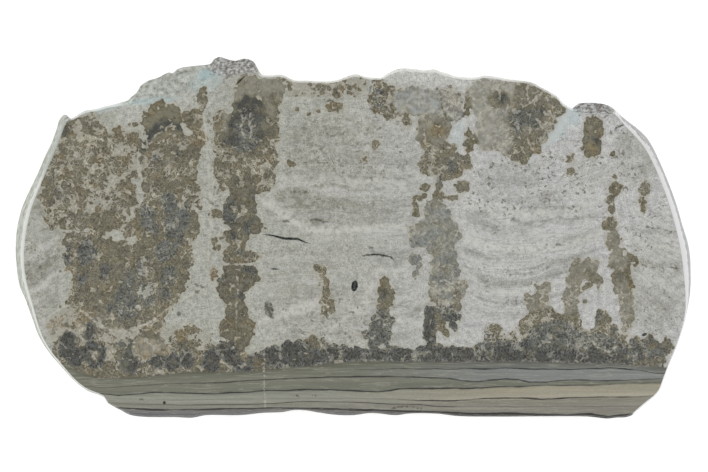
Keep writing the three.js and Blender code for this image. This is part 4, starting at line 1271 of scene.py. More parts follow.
class Slab:
    """The stromatolite slab: one piece, with what its rock is like stored at its corners."""

    def __init__(self, shape: SlabShape, sheet: Sheet) -> None:
        """Keep the shape and the map, and seed the relief of its broken parts.

        Args:
            shape: Its surface.
            sheet: How its surface is laid flat.
        """
        self.shape = shape
        self.sheet = sheet
        self.grain = Grain(11)

    def build(self) -> bpy.types.Object:
        """Build the mesh with its fields and its map.

        Returns:
            The object, in metres and in the frame's place.
        """
        ring_set = self.shape.rings(self.grain)
        rings = ring_set.corners
        face_loop = rings[0, :, :2]
        back_loop = rings[-1, :, :2]
        inner, face = self.shape.fill(face_loop, self.face_points(face_loop))
        sunk = self.relief(inner[:, 0], inner[:, 1])
        low = back_loop.min(axis=0)
        behind, back = self.shape.fill(back_loop, lattice(self.shape.back_step, low, back_loop.max(axis=0)))
        corners = np.vstack([
            rings.reshape(-1, 3),
            np.column_stack([inner, THICKNESS - sunk]),
            np.column_stack([behind, np.zeros(len(behind))]),
        ])
        count = self.shape.stations
        ring_total = len(rings) * count
        face_index = np.concatenate([np.arange(count), ring_total + np.arange(len(inner))])
        last = (len(rings) - 1) * count
        behind_start = ring_total + len(inner)
        back_index = np.concatenate([last + np.arange(count), behind_start + np.arange(len(behind))])
        station = np.arange(count)
        upper = (np.arange(len(rings) - 1) * count)[:, None]
        beside = (station + 1) % count
        around = [upper + count + station, upper + count + beside, upper + beside, upper + station]
        quads = np.stack(around, axis=-1).reshape(-1, 4)
        triangles = np.vstack([face_index[face], back_index[back[:, ::-1]]])
        mesh = bpy.data.meshes.new("polished_slab")
        polygons = [tuple(q) for q in quads.tolist()] + [tuple(t) for t in triangles.tolist()]
        mesh.from_pydata((corners * MM).tolist(), [], polygons)
        self.map(mesh, corners, quads, len(face))
        self.store(mesh, corners, ring_set, len(inner))
        mesh.shade_smooth()
        mesh.set_sharp_from_angle(angle=math.radians(self.shape.sharp_angle))
        mesh.validate()
        piece = bpy.data.objects.new("polished_slab", mesh)
        bpy.context.collection.objects.link(piece)
        self.centre(piece)
        return piece

    def centre(self, piece: bpy.types.Object) -> None:
        """Move the piece over the middle of the part that it stands for.

        Args:
            piece: The slab.
        """
        low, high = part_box(NODE)
        corners = np.empty(len(piece.data.vertices) * 3)
        piece.data.vertices.foreach_get("co", corners)
        corners = corners.reshape(-1, 3)
        middle = (corners.min(axis=0) + corners.max(axis=0)) / 2
        move = ((low.x + high.x) / 2 - middle[0], (low.y + high.y) / 2 - middle[1], low.z)
        piece.data.transform(Matrix.Translation(move))

    def face_points(self, loop: np.ndarray) -> np.ndarray:
        """Lay out the face's corners, finer beside small marks, along the beds and over pits and cracks.

        Args:
            loop: The face's edge.

        Returns:
            One point per row.
        """
        low = loop.min(axis=0)
        high = loop.max(axis=0)
        shape = self.shape
        plain = lattice(shape.face_step, low, high)
        fine = lattice(shape.fine_step, low, high)
        fields = Fields(fine[:, 0], fine[:, 1])
        fields.rule()
        beds = fields.beds()[0] > 0.6
        small = fine[fields.small_marks() | beds]
        finest = lattice(shape.fine_step / 2, low, high)
        finest = finest[self.relief(finest[:, 0], finest[:, 1], 0.5) > 0]
        return np.unique(np.round(np.vstack([plain, small, finest]), 4), axis=0)

    @staticmethod
    def relief(x: np.ndarray, y: np.ndarray, margin: float = 0.0) -> np.ndarray:
        """Return how far the pits and cracks, each widened by a margin, sink the face."""
        return np.maximum.reduce([mark.sunk(x, y, margin) for mark in HOLLOWS + CRACKS])

    def map(self, mesh: bpy.types.Mesh, corners: np.ndarray, quads: np.ndarray, face: int) -> None:
        """Lay the surface flat: the face with its rim, the back, and the wall in strips.

        Args:
            mesh: The mesh to map.
            corners: Its corners.
            quads: Its four-cornered faces, which come first.
            face: How many triangles of the face follow, before those of the back.
        """
        sheet = self.sheet
        count = self.shape.stations
        rim_rows = self.shape.rim_rings - 2
        along = (corners[:, 0] + sheet.half_length) / (2 * sheet.half_length)
        across = (corners[:, 1] - sheet.low_y) / sheet.breadth
        top = np.stack([along * sheet.wide, across * sheet.face_tall], axis=1)
        top += (sheet.margin, sheet.face_low)
        under = np.stack([along * sheet.back_wide, across * sheet.back_tall], axis=1) + sheet.margin
        loops = top[quads]
        ring = np.arange(len(quads)) // count
        spot = np.arange(len(quads)) % count
        wall = ring >= rim_rows
        strip = spot * sheet.strips // count
        length = count / sheet.strips
        rows = len(quads) // count - rim_rows
        for k, (aside, down) in enumerate(((0, 1), (1, 1), (1, 0), (0, 0))):
            u = sheet.margin + (spot + aside - strip * length) / length * sheet.wide
            height = 1 - (ring - rim_rows + down) / rows
            v = sheet.strip_low + strip * sheet.strip_step + height * sheet.strip_tall
            loops[wall, k] = np.stack([u, v], axis=1)[wall]
        vertex = np.empty(len(mesh.loops), np.int32)
        mesh.loops.foreach_get("vertex_index", vertex)
        triangles = vertex[len(quads) * 4:]
        layer = mesh.uv_layers.new(name="OFBake")
        places = np.vstack([loops.reshape(-1, 2), top[triangles[: face * 3]], under[triangles[face * 3:]]])
        layer.data.foreach_set("uv", places.astype(np.float32).ravel())

    def store(self, mesh: bpy.types.Mesh, corners: np.ndarray, ring_set: RingSet, inner: int) -> None:
        """Store what the rock is like at each corner.

        Args:
            mesh: The mesh.
            corners: Its corners.
            ring_set: The rings, whose corners come first.
            inner: How many corners inside the face follow the rings.
        """
        deep = THICKNESS - corners[:, 2]
        fields = Fields(corners[:, 0] + 0.1 * deep, corners[:, 1] - 0.05 * deep)
        fields.paint()
        fields.rule()
        beds, drawn = fields.beds()
        ring_count = len(ring_set.corners)
        total = ring_count * self.shape.stations

        def on_rings(values: np.ndarray) -> np.ndarray:
            """Lay values by ring and station out by corner, zero elsewhere.

            Args:
                values: A value for each station of each ring.

            Returns:
                A value for each corner.
            """
            out = np.zeros(len(corners))
            out[:total] = values.ravel()
            return out

        rim = np.ones((ring_count, 1))
        rim[: self.shape.rim_rings, 0] = np.linspace(0, 1, self.shape.rim_rings)
        wide = smoothstep(0.9, 2.6, ring_set.width)
        wall = smoothstep(self.shape.rim_rings - 2, self.shape.rim_rings, np.arange(ring_count))[:, None]
        broken = np.maximum(smoothstep(0, 0.25, rim) * wide, wall * 0.6) * ring_set.share(Finish.BROKEN)
        rough = np.zeros(len(corners))
        rough[total + inner:] = 1
        rough[(ring_count - 1) * self.shape.stations: total] = 1
        # Painted shade inside the pits and cracks: their depth times the strength of their shade, stored as
        # "sunk".
        sunk = np.zeros(len(corners))
        x, y = corners[total: total + inner, :2].T
        shadows = [mark.sunk(x, y) * mark.ink for mark in HOLLOWS + CRACKS]
        sunk[total: total + inner] = np.maximum.reduce(shadows)
        stored = {
            "growth": np.clip(fields.growth, -3, 4),
            "pack": fields.pack,
            "darkness": fields.tone[:, 0],
            "warmth": fields.tone[:, 1],
            "cover": fields.tone[:, 2],
            "dark_line": fields.dark_line,
            "pale_line": fields.pale_line,
            "beds": beds,
            "bed_ink": drawn,
            "laminated": fields.cover(LAMINATED),
            "speckled": fields.cover(SPECKLED),
            "clouded": np.maximum(fields.cover(CLOUDED), fields.streaks(STREAKS)),
            "flow": fields.streaks(FLOWS),
            "stained": fields.cover(STAINED),
            "vein": np.clip(VEIN.depth(fields.x, fields.y), -3, 2),
            "east": smoothstep(-15, 60, fields.x) * (1 - fields.cover(WARM_MUD)),
            "calm": np.maximum(fields.cover(CALM + KNOTS), fields.streaks(CALM_ARCHES)),
            "north": smoothstep(18, 26, fields.y),
            "bleached": fields.cover(BLEACHED),
            "knobbly": fields.cover(KNOBBLY),
            "worn": fields.cover(WORN),
            "sunk": sunk,
            "rim_left": on_rings(ring_set.across * ring_set.share(Finish.GROUND_LEFT)),
            "rim_right": on_rings(ring_set.across * ring_set.share(Finish.GROUND_RIGHT)),
            "broken": on_rings(broken),
            "foot": on_rings(rim * ring_set.share(Finish.BEDDED)),
            "parted": on_rings(wall * ring_set.share(Finish.BEDDED)),
            "back": rough,
        }
        for name, values in stored.items():
            layer = mesh.attributes.new(name, "FLOAT", "POINT")
            layer.data.foreach_set("value", values.astype(np.float32))
        layers = np.stack([corners[:, 0], fields.laminae() * LAMINA, corners[:, 2]], axis=1)
        for name, places in (("rock", corners), ("layers", layers)):
            layer = mesh.attributes.new(name, "FLOAT_VECTOR", "POINT")
            layer.data.foreach_set("vector", places.astype(np.float32).ravel())


def linear(value: float) -> float:
    """Return an 8-bit display value as a share of full light."""
    share = value / 255
    return share / 12.92 if share <= 0.04045 else ((share + 0.055) / 1.055) ** 2.4


def srgb(red: float, green: float, blue: float) -> Colour:
    """Return the colour that a shader needs for these 8-bit display values."""
    return linear(red), linear(green), linear(blue), 1.0


def stone(red: float, green: float, blue: float) -> Colour:
    """Return the colour under the polish of stone that looks like these display values with its sheen."""
    return tuple(max(value - SHEEN, 0.004) for value in srgb(red, green, blue)[:3]) + (1.0,)


class Graph:
    """The nodes of one material, made and joined by short calls."""

    def __init__(self, material: bpy.types.Material) -> None:
        """Clear the material's nodes.

        Args:
            material: The material whose nodes these are.
        """
        material.use_nodes = True
        self.tree = material.node_tree
        self.tree.nodes.clear()

    def node(self, kind: str, inputs: dict[str | int, Input], **options: str) -> bpy.types.Node:
        """Make a node.

        Args:
            kind: Its type, without the ShaderNode before it.
            inputs: What goes into its inputs, each an output to join or a value.
            options: Its options, which are set first.

        Returns:
            The node.
        """
        node = self.tree.nodes.new("ShaderNode" + kind)
        for name, value in options.items():
            setattr(node, name, value)
        for key, value in inputs.items():
            if isinstance(value, Socket):
                self.tree.links.new(value, node.inputs[key])
            else:
                node.inputs[key].default_value = value
        return node

    def field(self, name: str) -> Socket:
        """Return a number stored at the corners."""
        return self.node("Attribute", {}, attribute_name=name).outputs["Fac"]

    def place(self, name: str) -> Socket:
        """Return a position stored at the corners."""
        return self.node("Attribute", {}, attribute_name=name).outputs["Vector"]

    def math(self, operation: str, *numbers: Input) -> Socket:
        """Return a calculation on up to three numbers."""
        return self.node("Math", dict(enumerate(numbers)), operation=operation).outputs[0]

    def times(self, *numbers: Input) -> Input:
        """Return the product of some numbers."""
        return reduce(partial(self.math, "MULTIPLY"), numbers)

    def fit(self, value: Input, low: float, high: float, start: float = 0.0, end: float = 1.0) -> Socket:
        """Return start at low, end at high, and an even rise between them."""
        inputs = {"Value": value, "From Min": low, "From Max": high, "To Min": start, "To Max": end}
        return self.node("MapRange", inputs, interpolation_type="SMOOTHSTEP").outputs["Result"]

    def stretched(self, vector: Input, scale: Row) -> Socket:
        """Return a position scaled by different amounts along its axes."""
        return self.node("Mapping", {"Vector": vector, "Scale": scale}).outputs["Vector"]

    def shifted(self, vector: Input, colour: Input, amount: float) -> Socket:
        """Return a position moved by a noise colour."""
        inputs = {0: colour, 1: (amount, amount, amount), 2: vector}
        return self.node("VectorMath", inputs, operation="MULTIPLY_ADD").outputs["Vector"]

    def noise(self, vector: Input, scale: float | Row, detail: float, output: str = "Fac") -> Socket:
        """Return soft noise.

        Args:
            vector: The position.
            scale: One over the size of its features, or that for each axis.
            detail: How many finer layers it has.
            output: Which output of the noise.

        Returns:
            The noise.
        """
        if isinstance(scale, tuple):
            vector = self.stretched(vector, scale)
            scale = 1.0
        return self.node("TexNoise", {"Vector": vector, "Scale": scale, "Detail": detail}).outputs[output]

    def cells(self, vector: Input, scale: float, feature: str = "F1") -> bpy.types.Node:
        """Return the cells around scattered points."""
        return self.node("TexVoronoi", {"Vector": vector, "Scale": scale}, feature=feature)

    def over(self, under: Input, colour: Input, *shares: Input) -> Socket:
        """Return a colour laid over another by the product of some shares."""
        inputs = {"Factor": self.times(*shares), 6: under, 7: colour}
        return self.node("Mix", inputs, data_type="RGBA").outputs[2]

    def shade(self, colour: Input, *amounts: Input) -> Socket:
        """Return a colour made darker or lighter by the product of some amounts."""
        inputs = {0: colour, "Scale": self.times(*amounts)}
        return self.node("VectorMath", inputs, operation="SCALE").outputs["Vector"]

    def tinted(self, colour: Input, share: Input, tint: Row) -> Socket:
        """Return a colour multiplied by a tint, in part."""
        node = self.node("VectorMath", {0: colour, 1: tint}, operation="MULTIPLY")
        return self.over(colour, node.outputs["Vector"], share)

    def ramp(self, value: Input, stops: dict[float, Colour]) -> Socket:
        """Return a colour from a row of stops.

        Args:
            value: The place along the row.
            stops: A colour for each place.

        Returns:
            The colour.
        """
        node = self.node("ValToRGB", {"Fac": value})
        elements = node.color_ramp.elements
        while len(elements) < len(stops):
            elements.new(1.0)
        for element, (position, colour) in zip(elements, stops.items()):
            element.position = position
            element.color = colour
        return node.outputs["Color"]


@dataclass(frozen=True)
class PolishedStromatolite:
    """The finish of the whole slab.

    Args:
        clot_size: Spacing of the clots in the grown rock, in millimetres.
        polish: Roughness of the polished face.
        frost: Roughness of the ground rims.
        sheen: Specular level of the polished face.
        frost_sheen: Specular level of the ground rims.
        relief: Height of the fine relief of unpolished stone, in metres.
    """

    clot_size: float = 2.45
    polish: float = 0.2
    frost: float = 0.45
    sheen: float = 0.5
    frost_sheen: float = 0.06
    relief: float = 0.002

    def material(self) -> bpy.types.Material:
        """Build the material, laying each kind of rock over the last.

        Returns:
            The material.
        """
        material = bpy.data.materials.new("polished_stone")
        layers = StoneLayers(material, self)
        layers.mud()
        layers.grown()
        layers.bedded()
        layers.lines()
        layers.rims()
        layers.raw()
        layers.surface()
        return material


class StoneLayers(Graph):
    """The layers of the stone's colour, from the fields stored at the slab's corners."""

    def __init__(self, material: bpy.types.Material, finish: PolishedStromatolite) -> None:
        """Start from the plain mud, with the position in the rock, even and unevenly moved.

        Args:
            material: The material to dress.
            finish: Its sizes and polish.
        """
        super().__init__(material)
        self.finish = finish
        self.rock = self.place("rock")
        self.layers = self.place("layers")
        wobble = self.shifted(self.rock, self.noise(self.rock, 0.3, 3, "Color"), 2.6)
        self.wobble = self.shifted(wobble, self.noise(self.rock, 1.3, 2, "Color"), 0.9)
        self.colour: Input = stone(166, 167, 157)

    def lay(self, colour: Input, *shares: Input) -> None:
        """Lay a colour over what is there, by the product of some shares."""
        self.colour = self.over(self.colour, colour, *shares)

    def patches(self, scale: float | Row, detail: float, low: float, high: float, *ends: float) -> Socket:
        """Return noise in the rock, fitted between low and high."""
        return self.fit(self.noise(self.rock, scale, detail), low, high, *ends)

    def swing(self, vector: Input, scale: float | Row, detail: float) -> Socket:
        """Return noise about zero."""
        return self.math("SUBTRACT", self.noise(vector, scale, detail), 0.5)

    def threads(self, vector: Input, scale: float | Row, detail: float, width: float) -> Socket:
        """Return thin winding lines, where a noise is within a width of its middle."""
        away = self.math("ABSOLUTE", self.swing(vector, scale, detail))
        return self.fit(away, width, width * 0.2)

    def mud(self) -> None:
        """Lay the pale mud between the grown rock, with its threads, flecks and stains."""
        self.lay(stone(190, 190, 190), self.field("east"))
        self.lay(stone(197, 198, 193), self.field("bleached"))
        broad = self.patches(0.09, 3, 0.32, 0.68, 0.94, 1.05)
        mottle = self.patches(0.5, 5, 0.3, 0.7, 0.78, 1.18)
        grain = self.patches(2.2, 2, 0.28, 0.72, 0.7, 1.26)
        self.colour = self.shade(self.colour, broad, mottle, grain)
        self.laminae()
        bunches = self.patches(0.13, 2, 0.38, 0.62, 0.25, 1)
        self.lay(stone(202, 202, 195), self.threads(self.wobble, 0.75, 3, 0.07), bunches, 0.5)
        self.lay(stone(204, 203, 195), self.threads(self.wobble, 0.42, 3, 0.035), 0.3)
        self.lay(stone(128, 126, 115), self.threads(self.wobble, 0.55, 4, 0.03), 0.3)
        density = self.math("ADD", self.field("speckled"), 0.16)
        spot = self.noise(self.stretched(self.wobble, (0.85, 1.0, 1.0)), 0.95, 3)
        fleck = self.times(self.fit(spot, 0.55, 0.65), self.patches(0.2, 3, 0.42, 0.6, 0.1, 1.25), density)
        self.lay(stone(112, 108, 95), self.math("MINIMUM", fleck, 0.85))
        self.lay(stone(178, 198, 200), self.field("stained"), self.patches(0.9, 3, 0.3, 0.6, 0.3, 1))
        vein = self.math("ADD", self.field("vein"), self.patches(0.6, 2, 0.3, 0.7, -0.7, 0.7))
        self.lay(stone(188, 195, 193), self.fit(vein, -0.3, 0.5), 0.7)

    def laminae(self) -> None:
        """Lay the streaks of the mud's laminae, its grey-brown clouds and its pale swirls."""
        laid = self.field("laminated")
        streak = self.noise(self.layers, (0.022, 0.34, 0.1), 7)
        self.lay(stone(142, 141, 137), self.fit(streak, 0.5, 0.62), laid, 0.7)
        self.lay(stone(200, 200, 198), self.fit(streak, 0.5, 0.38), laid, 0.6)
        self.lay(stone(200, 199, 193), self.threads(self.layers, (0.1, 1.15, 0.15), 4, 0.05), 0.28)
        self.lay(stone(124, 122, 113), self.threads(self.layers, (0.06, 0.8, 0.12), 4, 0.035), laid, 0.4)
        shadow = self.over(stone(122, 121, 107), stone(130, 129, 124), self.field("east"))
        patchy = self.fit(self.noise(self.layers, 0.4, 5), 0.3, 0.6)
        self.lay(shadow, self.field("clouded"), patchy, 0.9)
        patchy = self.fit(self.noise(self.layers, 0.5, 5), 0.3, 0.54)
        self.lay(stone(204, 204, 197), self.field("flow"), patchy, 0.85)

    def grown(self) -> None:
        """Lay the grown rock: its clots with their dark edges, and the mud that shows between them."""
        size = self.finish.clot_size
        pack = self.field("pack")
        cells = self.cells(self.wobble, 1 / size)
        centre = cells.outputs["Distance"]
        lot = self.node("SeparateColor", {"Color": cells.outputs["Color"]}).outputs["Red"]
        uneven = self.swing(self.rock, 0.8, 4)
        radius = self.math("MULTIPLY_ADD", pack, 0.5, self.patches(0.17, 3, 0.3, 0.7, 0.24, 0.42))
        island = self.times(self.math("SUBTRACT", radius, centre), size)
        island = self.math("MULTIPLY_ADD", uneven, 2.0, island)
        missing = self.math("SUBTRACT", lot, self.math("MULTIPLY_ADD", pack, 1.1, 0.32))
        island = self.math("MULTIPLY_ADD", self.fit(missing, 0.0, 0.02), -2.0, island)
        rim = self.math("MULTIPLY_ADD", centre, -1.8, self.math("ADD", self.field("growth"), 0.85))
        rim = self.math("MULTIPLY_ADD", uneven, 1.9, rim)
        depth = self.math("SMOOTH_MIN", self.math("MINIMUM", rim, island), self.channels(pack), 0.3)
        there = self.fit(depth, -0.1, 0.14)
        speckle = self.patches(1.6, 3, 0.3, 0.7)
        haze = self.over(stone(138, 134, 119), stone(163, 160, 145), speckle)
        self.lay(haze, self.fit(self.field("growth"), -1.0, 0.7), 0.4)
        self.lay(stone(184, 181, 168), self.fit(depth, -0.6, -0.1), 0.45)
        darkness = self.darkness()
        warm = self.swing(self.stretched(self.rock, (1.0, 0.8, 1.0)), 0.19, 4)
        warm = self.math("MULTIPLY_ADD", warm, 1.9, self.field("warmth"))
        warm = self.math("MULTIPLY_ADD", self.math("SUBTRACT", lot, 0.5), 0.5, warm)
        between = self.over(stone(154, 150, 133), stone(188, 184, 169), speckle)
        between = self.shade(between, self.fit(darkness, 0.0, 1.1, 1.0, 0.55))
        body = self.over(between, self.clots(depth, darkness, warm), there)
        body = self.shade(body, self.texture(lot))
        body = self.threaded(body, warm, darkness)
        inside = self.times(self.fit(rim, -0.25, 0.25), self.fit(pack, 0.25, 1.0, 0.12, 0.9))
        self.lay(body, self.math("MAXIMUM", there, inside), self.field("cover"))

    def darkness(self) -> Socket:
        """Return how dark the grown rock is, less even where it is darkest.

        Returns:
            A number, higher where it is darker.
        """
        stored = self.field("darkness")
        stray = self.times(self.swing(self.rock, 0.3, 4), 1.5)
        return self.math("MULTIPLY_ADD", stray, self.fit(stored, 0.1, 0.6, 0.7, 1.9), stored)

    def clots(self, depth: Input, darkness: Input, warm: Input) -> Socket:
        """Return the colour of the clots.

        Args:
            depth: How far inside its clot each place lies.
            darkness: How dark it is there.
            warm: How warm it is there.

        Returns:
            The colour.
        """
        clot = self.ramp(self.fit(depth, 0.0, 1.3), {
            0.0: stone(130, 124, 105), 0.12: stone(94, 90, 74), 0.36: stone(116, 112, 95),
            0.7: stone(131, 128, 111), 1.0: stone(126, 123, 108),
        })
        clot = self.shade(clot, self.fit(darkness, -0.1, 1.15, 1.0, 0.2))
        palest = self.over(stone(145, 144, 134), stone(172, 171, 162), self.patches(0.7, 5, 0.34, 0.66))
        clot = self.over(clot, palest, self.fit(darkness, -0.05, -0.9))
        clot = self.tinted(clot, self.fit(warm, 0.0, -1.1), (0.85, 0.96, 1.16))
        return self.tinted(clot, self.fit(warm, 0.15, 1.2), (1.24, 1.01, 0.74))

    def channels(self, pack: Input) -> Socket:
        """Return how far each place lies outside the winding channels between the clots.

        Args:
            pack: How closely the clots are packed.

        Returns:
            About millimetres, negative inside a channel.
        """
        half = self.math("MULTIPLY_ADD", pack, -0.24, self.patches(0.22, 3, 0.3, 0.7, 0.1, 0.52))
        half = self.math("MULTIPLY_ADD", self.field("calm"), -0.7, half)
        wide = self.math("ABSOLUTE", self.swing(self.wobble, 0.33, 1))
        narrow = self.math("ABSOLUTE", self.swing(self.wobble, 0.55, 1))
        narrow = self.math("MULTIPLY_ADD", narrow, 7.5, 0.12)
        away = self.math("SMOOTH_MIN", self.times(wide, 11.0), narrow, 0.35)
        return self.math("SUBTRACT", away, half)

    def texture(self, lot: Input) -> Socket:
        """Return the light and dark of the grown rock, weaker where it is calm.

        Args:
            lot: A number drawn for each clot.

        Returns:
            A factor.
        """
        mottle = self.patches(0.7, 6, 0.3, 0.7, 0.66, 1.36)
        edge = self.cells(self.wobble, 0.8, "DISTANCE_TO_EDGE").outputs["Distance"]
        small = self.fit(edge, 0.02, 0.22, 0.8, 1.08)
        grain = self.patches(2.2, 2, 0.28, 0.72, 0.78, 1.2)
        whole = self.times(mottle, small, self.fit(lot, 0.0, 1.0, 0.82, 1.16), grain)
        calm = self.times(self.field("calm"), 0.7)
        return self.math("MULTIPLY_ADD", self.math("SUBTRACT", 1.0, whole), calm, whole)

    def threaded(self, brown: Input, warm: Input, darkness: Input) -> Socket:
        """Return the grown rock with pale threads, thickest where it is cold or dark, and dark spots.

        Args:
            brown: The colour of the grown rock.
            warm: Its warmth.
            darkness: Its darkness.

        Returns:
            The colour.
        """
        branch = self.math("MAXIMUM", self.fit(warm, -0.15, -0.8), self.fit(darkness, 0.15, 0.6))
        lively = self.fit(self.field("calm"), 0.0, 1.0, 1.0, 0.25)
        brown = self.over(brown, stone(80, 77, 64), self.threads(self.wobble, 0.5, 3, 0.045), lively, 0.35)
        thread = self.over(stone(160, 156, 142), stone(138, 143, 144), branch)
        strength = self.times(self.fit(branch, 0.0, 1.0, 0.28, 0.48), lively)
        brown = self.over(brown, thread, self.threads(self.wobble, (1.2, 0.8, 1.0), 3, 0.08), strength)
        strength = self.times(self.fit(branch, 0.0, 1.0, 0.25, 0.7), lively)
        return self.over(brown, stone(58, 59, 55), self.patches(0.7, 5, 0.54, 0.66), strength)

    def bedded(self) -> None:
        """Lay the beds at the foot, with the dark lines between them."""
        drift = self.swing(self.rock, (0.1, 0.5, 0.3), 4)
        count = self.math("MULTIPLY_ADD", drift, 0.36, self.field("beds"))
        share = self.math("DIVIDE", count, float(len(BED_LINES) - 1))
        west = self.ramp(share, {
            0.0: stone(100, 100, 88), 0.1: stone(118, 119, 107), 0.285: stone(125, 125, 113),
            0.43: stone(120, 121, 110), 0.46: stone(141, 142, 131), 0.62: stone(150, 150, 140),
            0.72: stone(134, 133, 122), 0.84: stone(142, 140, 130), 0.9: stone(110, 110, 112),
        })
        east = self.ramp(share, {
            0.0: stone(102, 103, 96), 0.12: stone(122, 124, 119), 0.16: stone(131, 134, 131),
            0.285: stone(134, 137, 134), 0.3: stone(120, 121, 110), 0.42: stone(119, 120, 109),
            0.45: stone(154, 149, 132), 0.57: stone(170, 165, 149), 0.6: stone(134, 131, 119),
            0.72: stone(145, 142, 132), 0.84: stone(134, 132, 122), 0.87: stone(64, 64, 58),
        })
        bed = self.over(west, east, self.field("east"))
        streak = self.patches((0.025, 1.3, 0.4), 5, 0.32, 0.68, 0.89, 1.09)
        grain = self.noise(self.stretched(self.rock, (1.0, 1.6, 1.0)), 1.4, 3)
        bed = self.shade(bed, streak, self.fit(grain, 0.3, 0.7, 0.94, 1.05))
        pale = self.threads(self.rock, (0.05, 1.0, 0.4), 4, 0.03)
        bed = self.over(bed, stone(172, 170, 158), pale, 0.35)
        away = self.math("ABSOLUTE", self.math("SUBTRACT", count, self.math("ROUND", count)))
        broken = self.patches((0.2, 0.9, 0.4), 4, 0.3, 0.6, 0.75, 1.3)
        line = self.times(self.fit(away, 0.11, 0.03), self.field("bed_ink"), broken)
        bed = self.over(bed, stone(62, 61, 52), self.math("MINIMUM", line, 0.92))
        self.lay(bed, self.fit(count, -0.25, 0.15))

    def lines(self) -> None:
        """Lay the drawn lines, and the shade painted inside the open pits and cracks."""
        uneven = self.patches(0.8, 4, 0.25, 0.75, -0.45, 0.45)
        pale = self.math("ADD", self.field("pale_line"), uneven)
        self.lay(stone(192, 190, 178), self.fit(pale, -0.25, 0.45), 0.68)
        dark = self.math("ADD", self.field("dark_line"), uneven)
        self.lay(stone(84, 81, 70), self.fit(dark, -0.2, 0.4), 0.7)
        # Painted shade: the open pits and cracks are darkened by how deep they sink, for the shade inside
        # them.
        pit_and_crack_shade = self.over(stone(52, 54, 50), stone(96, 102, 100), self.patches(0.9, 3, 0.35, 0.65))
        self.lay(pit_and_crack_shade, self.fit(self.field("sunk"), 0.03, 0.4, 0.0, 0.94))

    def rims(self) -> None:
        """Lay the ground rims at both ends: a painted highlight in near-white over their inner part, on
        frosted stone that is grey-olive at the upper left, and mottled grey stone on their outer part and
        where the right rim is worn.
        """
        soft = self.patches(0.5, 3, 0.3, 0.7, -0.09, 0.0)
        left = self.math("ADD", self.field("rim_left"), soft)
        right = self.math("ADD", self.field("rim_right"), soft)
        mottle = self.patches((0.9, 0.4, 0.5), 5, 0.36, 0.64)
        # Painted highlight: the near-white over the left rim stands in for the lamps' reflection on the
        # frosted bevel, and gives way to the stone's grey-olive at the upper left.
        ground = self.over(srgb(214, 217, 211), srgb(172, 178, 172), self.field("north"))
        self.lay(ground, self.fit(self.field("rim_left"), 0.0, 0.14, 0.0, 0.88))
        outer = self.over(srgb(184, 187, 178), srgb(140, 143, 132), mottle)
        self.lay(outer, self.fit(left, 0.27, 0.42))
        # Painted highlight: the near-white over the right rim stands in for the lamps' reflection on its
        # frosted bevel.
        self.lay(srgb(216, 217, 216), self.fit(self.field("rim_right"), 0.0, 0.06, 0.0, 0.94))
        self.lay(srgb(150, 151, 146), self.field("worn"), mottle, self.fit(right, 0.2, 0.4))
        self.lay(srgb(158, 159, 160), self.fit(right, 0.46, 0.62, 0.0, 0.95))

    def raw(self) -> None:
        """Lay the broken rock of the growth top, the parted foot and the sawn back."""
        rubble = self.ramp(self.noise(self.rock, 0.5, 8), {
            0.3: stone(128, 128, 118), 0.4: stone(170, 173, 164), 0.54: stone(196, 199, 191),
            0.7: stone(220, 223, 216),
        })
        knob = self.ramp(self.noise(self.rock, 0.9, 5), {
            0.3: stone(74, 66, 58), 0.42: stone(136, 132, 128), 0.54: stone(178, 178, 176),
            0.66: stone(216, 217, 215),
        })
        rubble = self.over(rubble, knob, self.field("knobbly"))
        rubble = self.over(rubble, srgb(172, 196, 198), self.field("stained"), 0.75)
        # Painted shade: dark spots in the broken rock stand in for the shade in its small pits.
        pits = self.fit(self.cells(self.rock, 0.6).outputs["Distance"], 0.26, 0.1, 0.0, 0.4)
        rubble = self.over(rubble, stone(92, 88, 80), pits)
        self.lay(rubble, self.field("broken"), 0.92)
        layered = self.patches((0.12, 0.5, 0.9), 5, 0.32, 0.68)
        parting = self.over(srgb(116, 115, 105), srgb(172, 170, 158), layered)
        self.lay(parting, self.field("parted"), 0.85)
        self.lay(srgb(160, 160, 152), self.field("back"), self.patches(0.2, 4, 0.3, 0.7, 0.25, 0.45))

    def surface(self) -> None:
        """Join the colour to the shader: polished face, frosted rims, and dull, rough broken stone."""
        finish = self.finish
        rims = self.math("ADD", self.field("rim_left"), self.field("rim_right"))
        behind = self.math("MAXIMUM", self.field("back"), self.field("foot"))
        dull = self.math("MAXIMUM", self.field("broken"), behind)
        rough = self.fit(rims, 0.0, 0.2, finish.polish, finish.frost)
        rough = self.math("ADD", rough, self.patches(0.8, 2, 0.3, 0.7, -0.03, 0.03))
        height = self.times(self.noise(self.rock, 1.1, 5), self.math("ADD", dull, 0.01))
        bump = self.node("Bump", {"Strength": 0.8, "Distance": finish.relief, "Height": height})
        shader = self.node("BsdfPrincipled", {
            "Base Color": self.colour,
            "IOR": 1.5,
            "Specular IOR Level": self.fit(rims, 0.2, 0.6, finish.sheen, finish.frost_sheen),
            "Roughness": self.math("ADD", rough, self.times(dull, 0.5)),
            "Normal": bump.outputs["Normal"],
        })
        self.node("OutputMaterial", {"Surface": shader.outputs[0]})


@dataclass(frozen=True)
class TopCamera:
    """A camera straight above the slab.

    Args:
        lens: Focal length in millimetres.
        sensor: Width of its sensor in millimetres.
        x: Its place along the slab.
        y: Its place across the slab.
        height: Its height over the polished face.
        nearest: The nearest it sees, in metres.
        farthest: The farthest it sees, in metres.
    """

    lens: float = 400.0
    sensor: float = 36.0
    x: float = 0.28
    y: float = 0.57
    height: float = 2783.0
    nearest: float = 0.1
    farthest: float = 20.0

    def build(self) -> None:
        """Make the camera and let the scene use it."""
        data = bpy.data.cameras.new("top_camera")
        data.lens = self.lens
        data.sensor_width = self.sensor
        data.clip_start = self.nearest
        data.clip_end = self.farthest
        camera = bpy.data.objects.new("top_camera", data)
        camera.location = Vector((self.x, self.y, THICKNESS + self.height)) * MM
        bpy.context.collection.objects.link(camera)
        bpy.context.scene.camera = camera


